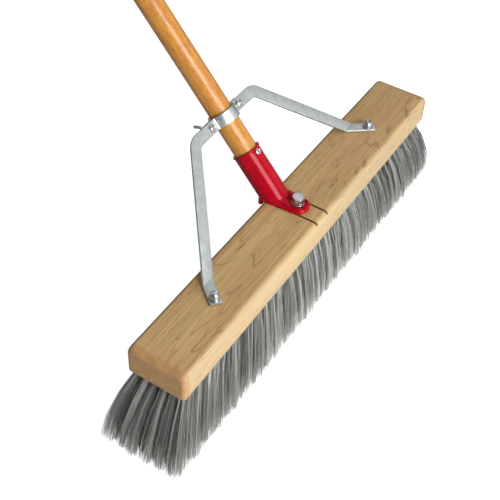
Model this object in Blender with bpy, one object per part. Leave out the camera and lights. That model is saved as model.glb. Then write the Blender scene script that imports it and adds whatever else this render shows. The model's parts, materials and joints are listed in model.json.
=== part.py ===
"""A push broom: wooden block, six rows of bristles, a bolted socket bracket, a long wooden handle
and a bent strap brace clamped to the handle with two wing nuts.

Frame: X runs along the block, Z is up, and the handle leans back towards +Y. The origin is the
centre of the sweeping face, so the bristle tips stand on z = 0.
"""

import math

import bmesh
import bpy
from mathutils import Matrix, Vector

MM = 0.001
GAP = 0.3 * MM  # air left between pieces that touch

# Bristles
TRIM = 76.2 * MM  # free length below the block: three inches
ROWS = 6
ROOT_ROW = 4.4 * MM  # thickness of a row where it leaves the block
ROOT_HALF_WIDTH = 26.5 * MM
ROOT_END_MARGIN = 8.0 * MM
FRONT_FLARE = 10.5 * MM  # how far the tips spread past the block's faces, worn unevenly
BACK_FLARE = 15.5 * MM
LEFT_FLARE = 28.0 * MM
RIGHT_FLARE = 20.0 * MM
FLARE_LEVELS = 6

# Block
BLOCK_LENGTH = 457.2 * MM  # eighteen inches
BLOCK_WIDTH = 60.0 * MM
BLOCK_HEIGHT = 30.2 * MM
BLOCK_CORNER = 4.5 * MM
BLOCK_ROUND_OVER = (8.0 * MM, 4.8 * MM, 6.0 * MM)  # inwards from the ends, from the sides, and down
KERF_SPACING = 19.4 * MM
KERF_WIDTH = 1.9 * MM
KERF_DEPTH = 2.2 * MM
BLOCK_TOP = TRIM + BLOCK_HEIGHT

# Handle
HANDLE_ANGLE = math.radians(48.8)  # above the floor
HANDLE_LENGTH = 1524.0 * MM  # sixty inches
HANDLE_RADIUS = 11.9 * MM  # fifteen sixteenths of an inch across
HANDLE_DOME = 6.0 * MM
AXIS_HEIGHT = TRIM + 3.4 * MM  # where the handle's axis crosses the block's middle plane
HANDLE_START = 52.0 * MM  # distances along the axis are counted from that crossing

# Bracket
SOCKET_MOUTH = 90.0 * MM
SOCKET_RADIUS = 13.6 * MM
SOCKET_LIP = 0.7 * MM
SOCKET_LIP_LENGTH = 1.6 * MM
SOCKET_SLOPE = 0.5 * MM
BORE_RADIUS = HANDLE_RADIUS + GAP
TONGUE_RISE = 5.3 * MM  # the tongue's top above the block
TONGUE_END_RADIUS = 11.5 * MM
TONGUE_EDGE = 2.4 * MM
ELBOW_FILLET = 8.0 * MM
PLATE_THICKNESS = 3.0 * MM
PLATE_HALF_WIDTH = 14.2 * MM
PLATE_BACK = 35.0 * MM
PLATE_CORNER = 5.0 * MM
HOOK_REACH = 3.6 * MM  # the hook's length down behind the block
HOOK_CORNER = 2.0 * MM
BOLT_Y = -1.6 * MM
RECESS_RADIUS = 8.8 * MM
RECESS_FLOOR = 3.6 * MM  # above the block's top
FLANGE_THICKNESS = KERF_WIDTH - 2 * GAP
RIVET_PLACE = 85.0 * MM

# Quarter inch bolt with its washers and tee nut
BOLT_RADIUS = 3.1 * MM
HEX_APOTHEM = 5.55 * MM
HEX_HEIGHT = 5.2 * MM
FLAT_WASHER = (6.2 * MM, 1.6 * MM)  # outer radius, thickness
LOCK_WASHER = (5.9 * MM, 1.8 * MM)
TEE_FLANGE = (9.5 * MM, 1.2 * MM)
TEE_BARREL = (4.1 * MM, 9.5 * MM)

# Strap brace and clamp
STRAP_WIDTH = 12.0 * MM
STRAP_THICKNESS = 2.4 * MM
CLAMP_PLACE = 128.8 * MM
CLAMP_SPLIT = 1.5 * MM  # from the axis to the middle of each strap's ears
BOW_RADIUS = HANDLE_RADIUS + GAP + STRAP_THICKNESS / 2
BOW_FILLET = 3.0 * MM
CLAMP_SCREW_X = 22.6 * MM
ARM_CORNER_X = 48.6 * MM
ARM_BEND_RADIUS = 14.0 * MM
ARM_SLOPE = math.radians(44.8)
ARM_ANGLE = math.radians(50.3)  # between an arm and X, in the arms' plane
FOLD_RADIUS = 3.2 * MM
FOOT_SCREW_X = 142.9 * MM
FOOT_SCREW_Y = -1.6 * MM

# Screws and wing nuts
CLAMP_SCREW_RADIUS = 2.3 * MM
CLAMP_HEAD = (3.9 * MM, 2.6 * MM)  # radius, height
CLAMP_SCREW_END = 13.4 * MM  # behind the handle's axis
SMALL_WASHER = (4.7 * MM, 1.1 * MM)
WING_HUB = (4.8 * MM, 4.0 * MM, 6.0 * MM)  # base radius, top radius, height
WING_THICKNESS = 1.8 * MM
WING_TURN = math.radians(22.0)
FOOT_SCREW_RADIUS = 2.4 * MM
FOOT_HEAD = (4.9 * MM, 5.8 * MM)
FOOT_COLLAR = (5.4 * MM, 1.2 * MM)
FOOT_END = 7.4 * MM  # from the foot screw to the strap's square end
FOOT_CORNER = 1.6 * MM
FOOT_SCREW_LENGTH = 22.0 * MM
SLOT_WIDTH = 1.2 * MM

AXIS_FRAME = (Matrix.Translation((0, 0, AXIS_HEIGHT))
              @ Matrix.Rotation(HANDLE_ANGLE - math.pi / 2, 4, "X"))  # Z up the handle, Y behind it


def clear_scene():
    for item in list(bpy.data.objects):
        bpy.data.objects.remove(item, do_unlink=True)


def material(name, rgb, roughness, metallic=0.0):
    """A plain Principled material from a linear colour, made once for each name."""
    made = bpy.data.materials.get(name)
    if made:
        return made
    made = bpy.data.materials.new(name)
    made.use_nodes = True
    shader = made.node_tree.nodes["Principled BSDF"]
    shader.inputs["Base Color"].default_value = (*rgb, 1.0)
    shader.inputs["Roughness"].default_value = roughness
    shader.inputs["Metallic"].default_value = metallic
    made.diffuse_color = (*rgb, 1.0)
    return made


def block_wood():
    return material("block wood", (0.50, 0.32, 0.16), 0.55)


def handle_wood():
    return material("lacquered handle wood", (0.62, 0.28, 0.08), 0.30)


def red_enamel():
    return material("red enamel", (0.52, 0.004, 0.014), 0.22)


def galvanised():
    return material("galvanised strap", (0.52, 0.55, 0.54), 0.38, 1.0)


def zinc():
    return material("bright zinc", (0.62, 0.64, 0.65), 0.28, 1.0)


def grey_fibre():
    return material("grey fibre", (0.17, 0.17, 0.155), 0.75)


# --- Building blocks ---------------------------------------------------------------------------


def add_object(name, work, look, frame=None):
    """Turn a bmesh into a smooth shaded object with sharp edges kept."""
    bmesh.ops.recalc_face_normals(work, faces=work.faces)
    mesh = bpy.data.meshes.new(name)
    work.to_mesh(mesh)
    work.free()
    mesh.shade_smooth()
    mesh.set_sharp_from_angle(angle=math.radians(32))
    mesh.materials.append(look)
    made = bpy.data.objects.new(name, mesh)
    bpy.context.scene.collection.objects.link(made)
    if frame:
        made.matrix_world = frame
    return made


def loft(name, rings, look, frame=None, closed=False):
    """Skin rings of equally many points, capping both ends unless the rings close on themselves."""
    work = bmesh.new()
    rows = [[work.verts.new(point) for point in ring] for ring in rings]
    pairs = list(zip(rows, rows[1:]))
    if closed:
        pairs.append((rows[-1], rows[0]))
    for low, high in pairs:
        for i in range(len(low)):
            j = (i + 1) % len(low)
            work.faces.new((low[i], low[j], high[j], high[i]))
    if not closed:
        work.faces.new(rows[0])
        work.faces.new(rows[-1])
    return add_object(name, work, look, frame)


def circle(radius, height, count=32):
    """Points around Z."""
    turns = [2 * math.pi * i / count for i in range(count)]
    return [Vector((radius * math.cos(a), radius * math.sin(a), height)) for a in turns]


def hexagon(apothem, height, limit, count=36):
    """A hexagon with evenly turned points, trimmed to the circle of radius limit."""
    ring = []
    for point in circle(1.0, height, count):
        turn = math.atan2(point.y, point.x) % (math.pi / 3) - math.pi / 6
        radius = min(apothem / math.cos(turn), limit)
        ring.append(Vector((radius * point.x, radius * point.y, height)))
    return ring


def turned(name, profile, look, frame=None, count=32, closed=False):
    """A turned solid from (radius, height) pairs; a closed profile makes a ring."""
    return loft(name, [circle(r, z, count) for r, z in profile], look, frame, closed)


def ring_washer(name, inner, outer, low, high, look, frame):
    edge = 0.2 * MM
    profile = [(inner, low), (outer - edge, low), (outer, low + edge),
               (outer, high - edge), (outer - edge, high), (inner, high)]
    return turned(name, profile, look, frame, closed=True)


def box(name, low, high, look=None, frame=None):
    work = bmesh.new()
    bmesh.ops.create_cube(work, size=1.0)
    for vert in work.verts:
        vert.co = [l + (c + 0.5) * (h - l) for c, l, h in zip(vert.co, low, high)]
    return add_object(name, work, look or zinc(), frame)


def inset(outline, amount):
    """Move each point of a convex counter-clockwise outline inwards."""
    moved = []
    for i, here in enumerate(outline):
        before = (here - outline[i - 1]).normalized()
        after = (outline[(i + 1) % len(outline)] - here).normalized()
        along = (before + after).normalized()
        lean = max(along.dot(after), 0.5)
        moved.append(here + Vector((-along.y, along.x)) * (amount / lean))
    return moved


def corner_arc(centre, radius, start, sweep=math.pi / 2, steps=6):
    turns = [start + sweep * i / steps for i in range(steps + 1)]
    return [Vector(centre) + radius * Vector((math.cos(a), math.sin(a))) for a in turns]


def rounded_rectangle(half_x, half_y, radius, middle_y=0.0):
    outline = []
    for i, (sx, sy) in enumerate(((1, 1), (-1, 1), (-1, -1), (1, -1))):
        centre = (sx * (half_x - radius), middle_y + sy * (half_y - radius))
        outline += corner_arc(centre, radius, i * math.pi / 2)
    return outline


def plate(name, outline, low, high, top_round, look, steps=5):
    """An upright extrusion of a flat outline with its top edge rounded."""
    rings = [[Vector((*p, low)) for p in outline]]
    for i in range(steps + 1):
        turn = math.pi / 2 * i / steps
        points = inset(outline, top_round * (1 - math.cos(turn)))
        rings.append([Vector((*p, high - top_round * (1 - math.sin(turn)))) for p in points])
    return loft(name, rings, look)


def combine(target, tool, operation):
    """Add a live Boolean modifier and keep its tool out of the model."""
    tool.hide_render = True
    tool.display_type = "WIRE"
    change = target.modifiers.new(tool.name, "BOOLEAN")
    change.solver = "EXACT"
    change.operation = operation
    change.object = tool
    return target


def drill(target, name, radius, low, high, frame=None, count=32):
    tool = turned(name, [(radius, low), (radius, high)], zinc(), frame, count)
    return combine(target, tool, "DIFFERENCE")


def upright(x, y, z=0.0):
    return Matrix.Translation((x, y, z))


def across_handle(x, place):
    """A frame on the handle's axis line with Z pointing behind the handle."""
    return AXIS_FRAME @ Matrix.Translation((x, 0, place)) @ Matrix.Rotation(-math.pi / 2, 4, "X")


# --- Block and bristles ------------------------------------------------------------------------


def make_block():
    in_x, in_y, drop = BLOCK_ROUND_OVER
    levels = [(TRIM, 0.0)] + [(BLOCK_TOP - drop * (1 - math.sin(a)), 1 - math.cos(a))
                              for a in (math.pi / 2 * i / 7 for i in range(8))]
    rings = [[Vector((*p, z)) for p in rounded_rectangle(BLOCK_LENGTH / 2 - in_x * share,
                                                         BLOCK_WIDTH / 2 - in_y * share, BLOCK_CORNER)]
             for z, share in levels]
    block = loft("block", rings, block_wood())
    for side in (-1, 1):
        x = side * KERF_SPACING / 2
        kerf = box(f"kerf cutter {side}", (x - KERF_WIDTH / 2, -BLOCK_WIDTH, BLOCK_TOP - KERF_DEPTH),
                   (x + KERF_WIDTH / 2, BLOCK_WIDTH, BLOCK_TOP + BLOCK_HEIGHT))
        combine(block, kerf, "DIFFERENCE")
        drill(block, f"pilot cutter {side}", FOOT_SCREW_RADIUS + GAP,
              BLOCK_TOP - FOOT_SCREW_LENGTH, BLOCK_TOP + BLOCK_HEIGHT,
              upright(side * FOOT_SCREW_X, FOOT_SCREW_Y), 20)
    seat, shoulder = TRIM + TEE_FLANGE[1] + 2 * GAP, TRIM + TEE_BARREL[1] + 2 * GAP
    profile = [(TEE_FLANGE[0] + GAP, TRIM - BLOCK_HEIGHT), (TEE_FLANGE[0] + GAP, seat),
               (TEE_BARREL[0] + GAP, seat), (TEE_BARREL[0] + GAP, shoulder),
               (BOLT_RADIUS + GAP, shoulder), (BOLT_RADIUS + GAP, BLOCK_TOP + BLOCK_HEIGHT)]
    hole = turned("bolt hole cutter", profile, zinc(), upright(0, BOLT_Y), 24)
    return combine(block, hole, "DIFFERENCE")


def make_bristle_row(index):
    """One row as a closed solid that leans and widens with the flare, fast at first, then upright."""
    root_pitch = 2 * ROOT_HALF_WIDTH / ROWS
    tip_pitch = (BLOCK_WIDTH + FRONT_FLARE + BACK_FLARE) / ROWS
    place = index - (ROWS - 1) / 2
    root_end = BLOCK_LENGTH / 2 - ROOT_END_MARGIN
    rings = []
    for level in range(FLARE_LEVELS + 1):
        drop = level / FLARE_LEVELS
        spread = 1 - (1 - drop) ** 2
        middle = (place * (root_pitch + (tip_pitch - root_pitch) * spread)
                  + (BACK_FLARE - FRONT_FLARE) / 2 * spread)
        thickness = ROOT_ROW + (tip_pitch - 2 * GAP - ROOT_ROW) * spread
        left = -root_end - (ROOT_END_MARGIN + LEFT_FLARE) * spread
        right = root_end + (ROOT_END_MARGIN + RIGHT_FLARE) * spread
        side, z = thickness / 2, (TRIM - GAP) * (1 - drop)
        chamfer = 0.35 * thickness
        corners = ((right, -side + chamfer), (right, side - chamfer), (right - chamfer, side),
                   (left + chamfer, side), (left, side - chamfer), (left, chamfer - side),
                   (left + chamfer, -side), (right - chamfer, -side))
        rings.append([Vector((x, middle + y, z)) for x, y in corners])
    return loft(f"bristle_row_{index + 1}", rings, grey_fibre())


# --- Bracket and its fasteners -----------------------------------------------------------------


def rounded_section(centre, out, half_width, half_height, power, count=48):
    """A ring across X and the vector out that runs from an ellipse (power 2) towards a box."""
    ring = []
    for i in range(count):
        turn = 2 * math.pi * i / count
        c, s = math.cos(turn), math.sin(turn)
        x = half_width * math.copysign(abs(c) ** (2 / power), c)
        h = half_height * math.copysign(abs(s) ** (2 / power), s)
        ring.append(centre + Vector((x, 0, 0)) + out * h)
    return ring


def bracket_rings():
    """Rings from the socket's mouth, round the elbow and out to the tongue's round end."""
    behind = Vector((0, math.sin(HANDLE_ANGLE), -math.cos(HANDLE_ANGLE)))
    rings = []
    tongue_top = BLOCK_TOP + TONGUE_RISE
    pivot_z = tongue_top + ELBOW_FILLET
    reach = ELBOW_FILLET + SOCKET_RADIUS
    elbow_place = (pivot_z - AXIS_HEIGHT - reach * math.cos(HANDLE_ANGLE)) / math.sin(HANDLE_ANGLE)
    pivot = AXIS_FRAME @ Vector((0, -reach, elbow_place))
    lip_start = SOCKET_MOUTH - SOCKET_LIP_LENGTH
    for place, grow in ((SOCKET_MOUTH, SOCKET_LIP), (lip_start, SOCKET_LIP),
                        (lip_start - SOCKET_SLOPE, 0.0)):
        centre = AXIS_FRAME @ Vector((0, 0, place))
        rings.append(rounded_section(centre, behind, SOCKET_RADIUS + grow, SOCKET_RADIUS + grow, 2.0))
    elbow_steps = 8
    for i in range(elbow_steps + 1):
        share = i / elbow_steps
        lean = HANDLE_ANGLE * (1 - share)
        out = Vector((0, math.sin(lean), -math.cos(lean)))
        width = SOCKET_RADIUS + (TONGUE_END_RADIUS - SOCKET_RADIUS) * share
        rings.append(rounded_section(pivot + out * reach, out, width, SOCKET_RADIUS,
                                     2.0 + 5.0 * share ** 2))
    down = Vector((0, 0, -1))
    end_steps = 8
    for i in range(1, end_steps + 1):
        turn = math.radians(86) * i / end_steps
        edge = TONGUE_END_RADIUS * (1 - math.sin(turn))
        sink = 0.0
        if edge < TONGUE_EDGE:
            sink = TONGUE_EDGE - math.sqrt(TONGUE_EDGE ** 2 - (TONGUE_EDGE - edge) ** 2)
        centre = Vector((0, BOLT_Y - TONGUE_END_RADIUS * math.sin(turn), pivot_z - reach - sink / 2))
        rings.append(rounded_section(centre, down, TONGUE_END_RADIUS * math.cos(turn),
                                     SOCKET_RADIUS - sink / 2, 7.0))
    return rings


def base_plate_outline():
    """The flat plate under the tongue and socket: round in front, wider behind, square corners eased."""
    half_back = PLATE_HALF_WIDTH - PLATE_CORNER
    back = PLATE_BACK - PLATE_CORNER
    front = TONGUE_END_RADIUS + 0.5 * MM
    return (corner_arc((half_back, back), PLATE_CORNER, 0.0)
            + corner_arc((-half_back, back), PLATE_CORNER, math.pi / 2)
            + corner_arc((0, BOLT_Y), front, math.pi, math.pi, 20))


def make_bracket():
    floor = BLOCK_TOP + GAP
    bracket = loft("bracket", bracket_rings(), red_enamel())
    base = plate("base plate", base_plate_outline(), floor - TONGUE_RISE, floor + PLATE_THICKNESS,
                 1.2 * MM, red_enamel())
    combine(bracket, base, "UNION")
    hook_front = BLOCK_WIDTH / 2 + GAP
    hook_outline = rounded_rectangle(PLATE_HALF_WIDTH - 0.4 * MM, (PLATE_BACK - hook_front) / 2,
                                     HOOK_CORNER, (PLATE_BACK + hook_front) / 2)
    reach = 3 * PLATE_BACK
    below = box("block clearance cutter", (-reach, -reach, floor - reach), (reach, reach, floor))
    combine(bracket, below, "DIFFERENCE")
    hook = plate("back hook", hook_outline, BLOCK_TOP - HOOK_REACH, floor + PLATE_THICKNESS / 2,
                 0.6 * MM, red_enamel())
    combine(bracket, hook, "UNION")
    for side in (-1, 1):
        x = side * KERF_SPACING / 2
        flange = box(f"kerf flange {side}",
                     (x - FLANGE_THICKNESS / 2, BOLT_Y - 5 * MM, BLOCK_TOP - KERF_DEPTH + GAP),
                     (x + FLANGE_THICKNESS / 2, BLOCK_WIDTH / 2 - 3 * MM, floor + 1.5 * MM))
        combine(bracket, flange, "UNION")
    drill(bracket, "socket bore cutter", BORE_RADIUS, HANDLE_START - GAP, SOCKET_MOUTH * 2,
          AXIS_FRAME, 48)
    drill(bracket, "bolt recess cutter", RECESS_RADIUS, BLOCK_TOP + RECESS_FLOOR,
          BLOCK_TOP + BLOCK_HEIGHT, upright(0, BOLT_Y))
    drill(bracket, "bracket hole cutter", BOLT_RADIUS + GAP, TRIM, BLOCK_TOP + BLOCK_HEIGHT,
          upright(0, BOLT_Y), 24)
    return drill(bracket, "rivet cutter", 2.0 * MM, -2 * SOCKET_RADIUS, 2 * SOCKET_RADIUS,
                 across_handle(0, RIVET_PLACE), 20)


def make_bolt_set():
    frame = upright(0, BOLT_Y)
    hole = BOLT_RADIUS + GAP
    low = BLOCK_TOP + RECESS_FLOOR + GAP
    high = low + FLAT_WASHER[1]
    ring_washer("bolt_flat_washer", hole, FLAT_WASHER[0], low, high, zinc(), frame)
    low, high = high + GAP, high + GAP + LOCK_WASHER[1]
    ring_washer("bolt_lock_washer", hole, LOCK_WASHER[0], low, high, zinc(), frame)
    seat = high + GAP
    top, corner = seat + HEX_HEIGHT, HEX_APOTHEM / math.cos(math.pi / 6)
    end = TRIM + 2.0 * MM
    rings = [hexagon(HEX_APOTHEM, top, HEX_APOTHEM - 0.2 * MM),
             hexagon(HEX_APOTHEM, top - 0.6 * MM, corner), hexagon(HEX_APOTHEM, seat, corner),
             circle(BOLT_RADIUS, seat, 36), circle(BOLT_RADIUS, end + 0.8 * MM, 36),
             circle(BOLT_RADIUS - 0.8 * MM, end, 36)]
    loft("bracket_bolt", rings, zinc(), frame)
    flange_top = TRIM + GAP + TEE_FLANGE[1]
    profile = [(hole, TRIM + GAP), (TEE_FLANGE[0], TRIM + GAP), (TEE_FLANGE[0], flange_top),
               (TEE_BARREL[0], flange_top), (TEE_BARREL[0], TRIM + TEE_BARREL[1]),
               (hole, TRIM + TEE_BARREL[1])]
    turned("tee_nut", profile, zinc(), frame, 36, closed=True)


# --- Handle ------------------------------------------------------------------------------------


def make_handle():
    end = HANDLE_START + HANDLE_LENGTH
    profile = [(HANDLE_RADIUS - 1.0 * MM, HANDLE_START), (HANDLE_RADIUS, HANDLE_START + 1.0 * MM)]
    for i in range(7):
        turn = math.radians(84) * i / 6
        profile.append((HANDLE_RADIUS * math.cos(turn), end - HANDLE_DOME * (1 - math.sin(turn))))
    handle = turned("handle", profile, handle_wood(), AXIS_FRAME, 48)
    return drill(handle, "handle rivet cutter", 2.0 * MM, -2 * SOCKET_RADIUS, 2 * SOCKET_RADIUS,
                 across_handle(0, RIVET_PLACE), 20)


def make_handle_rivet():
    """A tubular rivet right through socket and handle, its head's hole open in front."""
    seat = SOCKET_RADIUS + GAP
    profile = [(0.9 * MM, -seat + 2.0 * MM), (0.9 * MM, -seat - 1.0 * MM), (2.0 * MM, -seat - 1.2 * MM),
               (3.1 * MM, -seat - 0.6 * MM), (3.2 * MM, -seat), (1.7 * MM, -seat), (1.7 * MM, seat),
               (2.9 * MM, seat), (2.9 * MM, seat + 0.6 * MM), (2.0 * MM, seat + 1.1 * MM)]
    return turned("handle_rivet", profile, zinc(), across_handle(0, RIVET_PLACE), 24)


# --- Brace and clamp ---------------------------------------------------------------------------


def station(centre, tangent, normal, half_width, skew=None):
    """Four corners of a strap section; skew gives the width's direction where it isn't square."""
    wide = (skew or normal.cross(tangent)).normalized() * half_width
    thick = normal.normalized() * (STRAP_THICKNESS / 2)
    return [centre + wide + thick, centre - wide + thick, centre - wide - thick, centre + wide - thick]


def clamp_stations(side):
    """Half a clamp from the bow's crown to the ear, side -1 in front of the handle, 1 behind it."""
    turn_axis = AXIS_FRAME.to_3x3()
    half = STRAP_WIDTH / 2
    fillet_y = CLAMP_SPLIT + BOW_FILLET
    fillet_x = math.sqrt((BOW_RADIUS + BOW_FILLET) ** 2 - fillet_y ** 2)
    meet = math.atan2(fillet_x, fillet_y)
    stations = []

    def add(x, y, turn):
        centre = AXIS_FRAME @ Vector((x, side * y, CLAMP_PLACE))
        normal = turn_axis @ Vector((math.sin(turn), side * math.cos(turn), 0))
        tangent = turn_axis @ Vector((math.cos(turn), -side * math.sin(turn), 0))
        stations.append(station(centre, tangent, normal, half))

    bow_steps, fillet_steps = 8, 4
    for i in range(bow_steps):
        turn = meet * (i + 0.5) / bow_steps
        add(BOW_RADIUS * math.sin(turn), BOW_RADIUS * math.cos(turn), turn)
    for i in range(fillet_steps + 1):
        turn = meet * (1 - i / fillet_steps)
        add(fillet_x - BOW_FILLET * math.sin(turn), fillet_y - BOW_FILLET * math.cos(turn), turn)
    return stations


def round_end(centre, tangent, normal):
    """Sections that close a strap in a half circle about centre."""
    half = STRAP_WIDTH / 2
    turns = [math.radians(a) for a in (0, 18, 36, 54, 70, 83)]
    return [station(centre + tangent * (half * math.sin(a)), tangent, normal, half * math.cos(a))
            for a in turns]


def square_end(centre, tangent, normal):
    """Sections that carry a strap past centre to a square end with eased corners."""
    half = STRAP_WIDTH / 2
    start = FOOT_END - FOOT_CORNER
    stations = [station(centre + tangent * (start * share), tangent, normal, half) for share in (0, 1)]
    for degrees in (30, 60, 85):
        turn = math.radians(degrees)
        spot = centre + tangent * (start + FOOT_CORNER * math.sin(turn))
        stations.append(station(spot, tangent, normal, half - FOOT_CORNER * (1 - math.cos(turn))))
    return stations


def arm_stations():
    """The right half of the brace from the ear round the edgewise bend, down and onto the block."""
    half = STRAP_WIDTH / 2
    along = Vector((1, 0, 0))
    down = Vector((0, -math.cos(ARM_SLOPE), -math.sin(ARM_SLOPE)))
    ear_normal = AXIS_FRAME.to_3x3() @ Vector((0, -1, 0))
    arm_normal = Vector((0, -math.sin(ARM_SLOPE), math.cos(ARM_SLOPE)))
    corner = AXIS_FRAME @ Vector((ARM_CORNER_X, -CLAMP_SPLIT, CLAMP_PLACE))
    trim = ARM_BEND_RADIUS * math.tan(ARM_ANGLE / 2)
    pivot = corner - along * trim + down * ARM_BEND_RADIUS
    stations = []
    bend_steps = 8
    for i in range(bend_steps + 1):
        share = i / bend_steps
        turn = ARM_ANGLE * share
        centre = pivot + ARM_BEND_RADIUS * (along * math.sin(turn) - down * math.cos(turn))
        tangent = along * math.cos(turn) + down * math.sin(turn)
        stations.append(station(centre, tangent, ear_normal.lerp(arm_normal, share), half))

    foot_z = BLOCK_TOP + GAP + STRAP_THICKNESS / 2
    skew_half = half / math.sin(ARM_ANGLE)
    fall = (corner.z - foot_z) / math.sin(ARM_SLOPE)
    fold = corner + down * fall + along * (fall / math.tan(ARM_ANGLE))
    fold_trim = FOLD_RADIUS * math.tan(ARM_SLOPE / 2)
    fold_steps = 5
    for i in range(fold_steps + 1):
        lean = ARM_SLOPE * (1 - i / fold_steps)
        normal = Vector((0, -math.sin(lean), math.cos(lean)))
        y = fold.y - fold_trim + FOLD_RADIUS * math.sin(lean)
        z = foot_z + FOLD_RADIUS * (1 - math.cos(lean))
        slide = fold_trim * (2 * i / fold_steps - 1) / math.tan(ARM_ANGLE)
        stations.append(station(Vector((fold.x + slide, y, z)), along, normal, skew_half, along))
    end = Vector((FOOT_SCREW_X, FOOT_SCREW_Y, foot_z))
    outward = (end - Vector((fold.x, fold.y, foot_z))).normalized()
    return stations + square_end(end, outward, Vector((0, 0, 1)))


def mirrored(stations):
    """The left half of a strap, in order from its end to its middle."""
    flipped = []
    for ring in reversed(stations):
        a, b, c, d = [Vector((-p.x, p.y, p.z)) for p in ring]
        flipped.append([a, b, c, d])
    return flipped


def clamp_frames():
    return [(name, across_handle(side * CLAMP_SCREW_X, CLAMP_PLACE))
            for name, side in (("left", -1), ("right", 1))]


def make_brace():
    half = clamp_stations(-1) + arm_stations()
    brace = loft("brace", mirrored(half) + half, galvanised())
    for name, frame in clamp_frames():
        drill(brace, f"brace ear cutter {name}", CLAMP_SCREW_RADIUS + GAP, -5 * MM, 5 * MM, frame, 20)
    for side in (-1, 1):
        drill(brace, f"brace foot cutter {side}", FOOT_SCREW_RADIUS + GAP, TRIM, BLOCK_TOP * 2,
              upright(side * FOOT_SCREW_X, FOOT_SCREW_Y), 20)
    return brace


def make_rear_strap():
    half = clamp_stations(1)
    ear = AXIS_FRAME @ Vector((CLAMP_SCREW_X + 1.5 * MM, CLAMP_SPLIT, CLAMP_PLACE))
    behind = AXIS_FRAME.to_3x3() @ Vector((0, 1, 0))
    half += round_end(ear, Vector((1, 0, 0)), behind)
    strap = loft("rear_clamp_strap", mirrored(half) + half, galvanised())
    for name, frame in clamp_frames():
        drill(strap, f"strap ear cutter {name}", CLAMP_SCREW_RADIUS + GAP, -5 * MM, 5 * MM, frame, 20)
    return strap


def domed_head(radius, height, seat, outward, steps=5):
    """Profile points over a domed head from its top to its seat; outward is the head's direction."""
    profile = []
    for i in range(steps + 1):
        turn = math.radians(78) * (1 - i / steps)
        profile.append((radius * math.cos(turn), seat + outward * height * math.sin(turn)))
    return profile


def slot(screw, name, radius, outer, depth, frame):
    tool = box(name, (-2 * radius, -SLOT_WIDTH / 2, min(outer, outer - depth)),
               (2 * radius, SLOT_WIDTH / 2, max(outer, outer - depth)), frame=frame)
    return combine(screw, tool, "DIFFERENCE")


def make_clamp_screws():
    ear_face = CLAMP_SPLIT + STRAP_THICKNESS / 2
    seat = -(ear_face + GAP)
    for name, frame in clamp_frames():
        profile = domed_head(*CLAMP_HEAD, seat, -1)
        profile += [(CLAMP_SCREW_RADIUS, seat), (CLAMP_SCREW_RADIUS, CLAMP_SCREW_END - 0.6 * MM),
                    (CLAMP_SCREW_RADIUS - 0.6 * MM, CLAMP_SCREW_END)]
        screw = turned(f"clamp_screw_{name}", profile, zinc(), frame, 24)
        slot(screw, f"clamp slot cutter {name}", CLAMP_HEAD[0], seat - 2 * CLAMP_HEAD[1],
             -CLAMP_HEAD[1] - 1.0 * MM, frame)
        low = ear_face + GAP
        ring_washer(f"wing_washer_{name}", CLAMP_SCREW_RADIUS + GAP, SMALL_WASHER[0], low,
                    low + SMALL_WASHER[1], zinc(), frame)


def wing_outline():
    """Half of the wings' outline, as distance from the screw and height above the nut's seat."""
    tip = corner_arc((8.6 * MM, 8.6 * MM), 1.6 * MM, math.radians(-30), math.radians(180), 6)
    return [Vector((4.0 * MM, 1.2 * MM)), Vector((7.4 * MM, 3.6 * MM))] + tip + [
        Vector((5.4 * MM, 6.0 * MM)), Vector((3.0 * MM, 5.0 * MM))]


def make_wing_nut(name, frame):
    """The nut turns about its own origin's Z axis, which is the screw's axis."""
    seat = CLAMP_SPLIT + STRAP_THICKNESS / 2 + SMALL_WASHER[1] + 2 * GAP
    frame = frame @ Matrix.Translation((0, 0, seat))
    base, top, height = WING_HUB
    profile = [(base - 0.3 * MM, 0.0), (base, 0.3 * MM), (top, height - 0.4 * MM), (top - 0.4 * MM, height)]
    nut = turned(f"wing_nut_{name}", profile, zinc(), frame, 28)
    right = wing_outline()
    left = [Vector((-p.x, p.y)) for p in reversed(right)]
    turn = Matrix.Rotation(math.pi / 2 - WING_TURN, 4, "Z")
    rings = [[turn @ Vector((p.x, y, p.y)) for p in right + left]
             for y in (-WING_THICKNESS / 2, WING_THICKNESS / 2)]
    wings = loft(f"wings {name}", rings, zinc(), frame)
    combine(nut, wings, "UNION")
    return drill(nut, f"wing nut cutter {name}", CLAMP_SCREW_RADIUS + GAP, -height, 3 * height, frame, 24)


def make_foot_screw(name, side):
    frame = upright(side * FOOT_SCREW_X, FOOT_SCREW_Y)
    seat = BLOCK_TOP + STRAP_THICKNESS + 2 * GAP
    collar = seat + FOOT_COLLAR[1]
    end = BLOCK_TOP - FOOT_SCREW_LENGTH + 4 * GAP
    profile = domed_head(*FOOT_HEAD, collar, 1)
    profile += [(FOOT_COLLAR[0] - 0.3 * MM, collar), (FOOT_COLLAR[0], seat + 0.4 * MM),
                (FOOT_COLLAR[0] - 0.2 * MM, seat), (FOOT_SCREW_RADIUS, seat),
                (FOOT_SCREW_RADIUS, end + 5 * MM), (0.4 * MM, end)]
    screw = turned(f"foot_screw_{name}", profile, zinc(), frame, 28)
    turned_slot = frame @ Matrix.Rotation(side * math.radians(35), 4, "Z")
    return slot(screw, f"foot slot cutter {name}", FOOT_HEAD[0], collar + 2 * FOOT_HEAD[1],
                FOOT_HEAD[1] + 1.2 * MM, turned_slot)


def main():
    clear_scene()
    make_block()
    for index in range(ROWS):
        make_bristle_row(index)
    make_bracket()
    make_bolt_set()
    make_handle()
    make_handle_rivet()
    make_brace()
    make_rear_strap()
    make_clamp_screws()
    for name, frame in clamp_frames():
        make_wing_nut(name, frame)
    for name, side in (("left", -1), ("right", 1)):
        make_foot_screw(name, side)


main()
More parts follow.
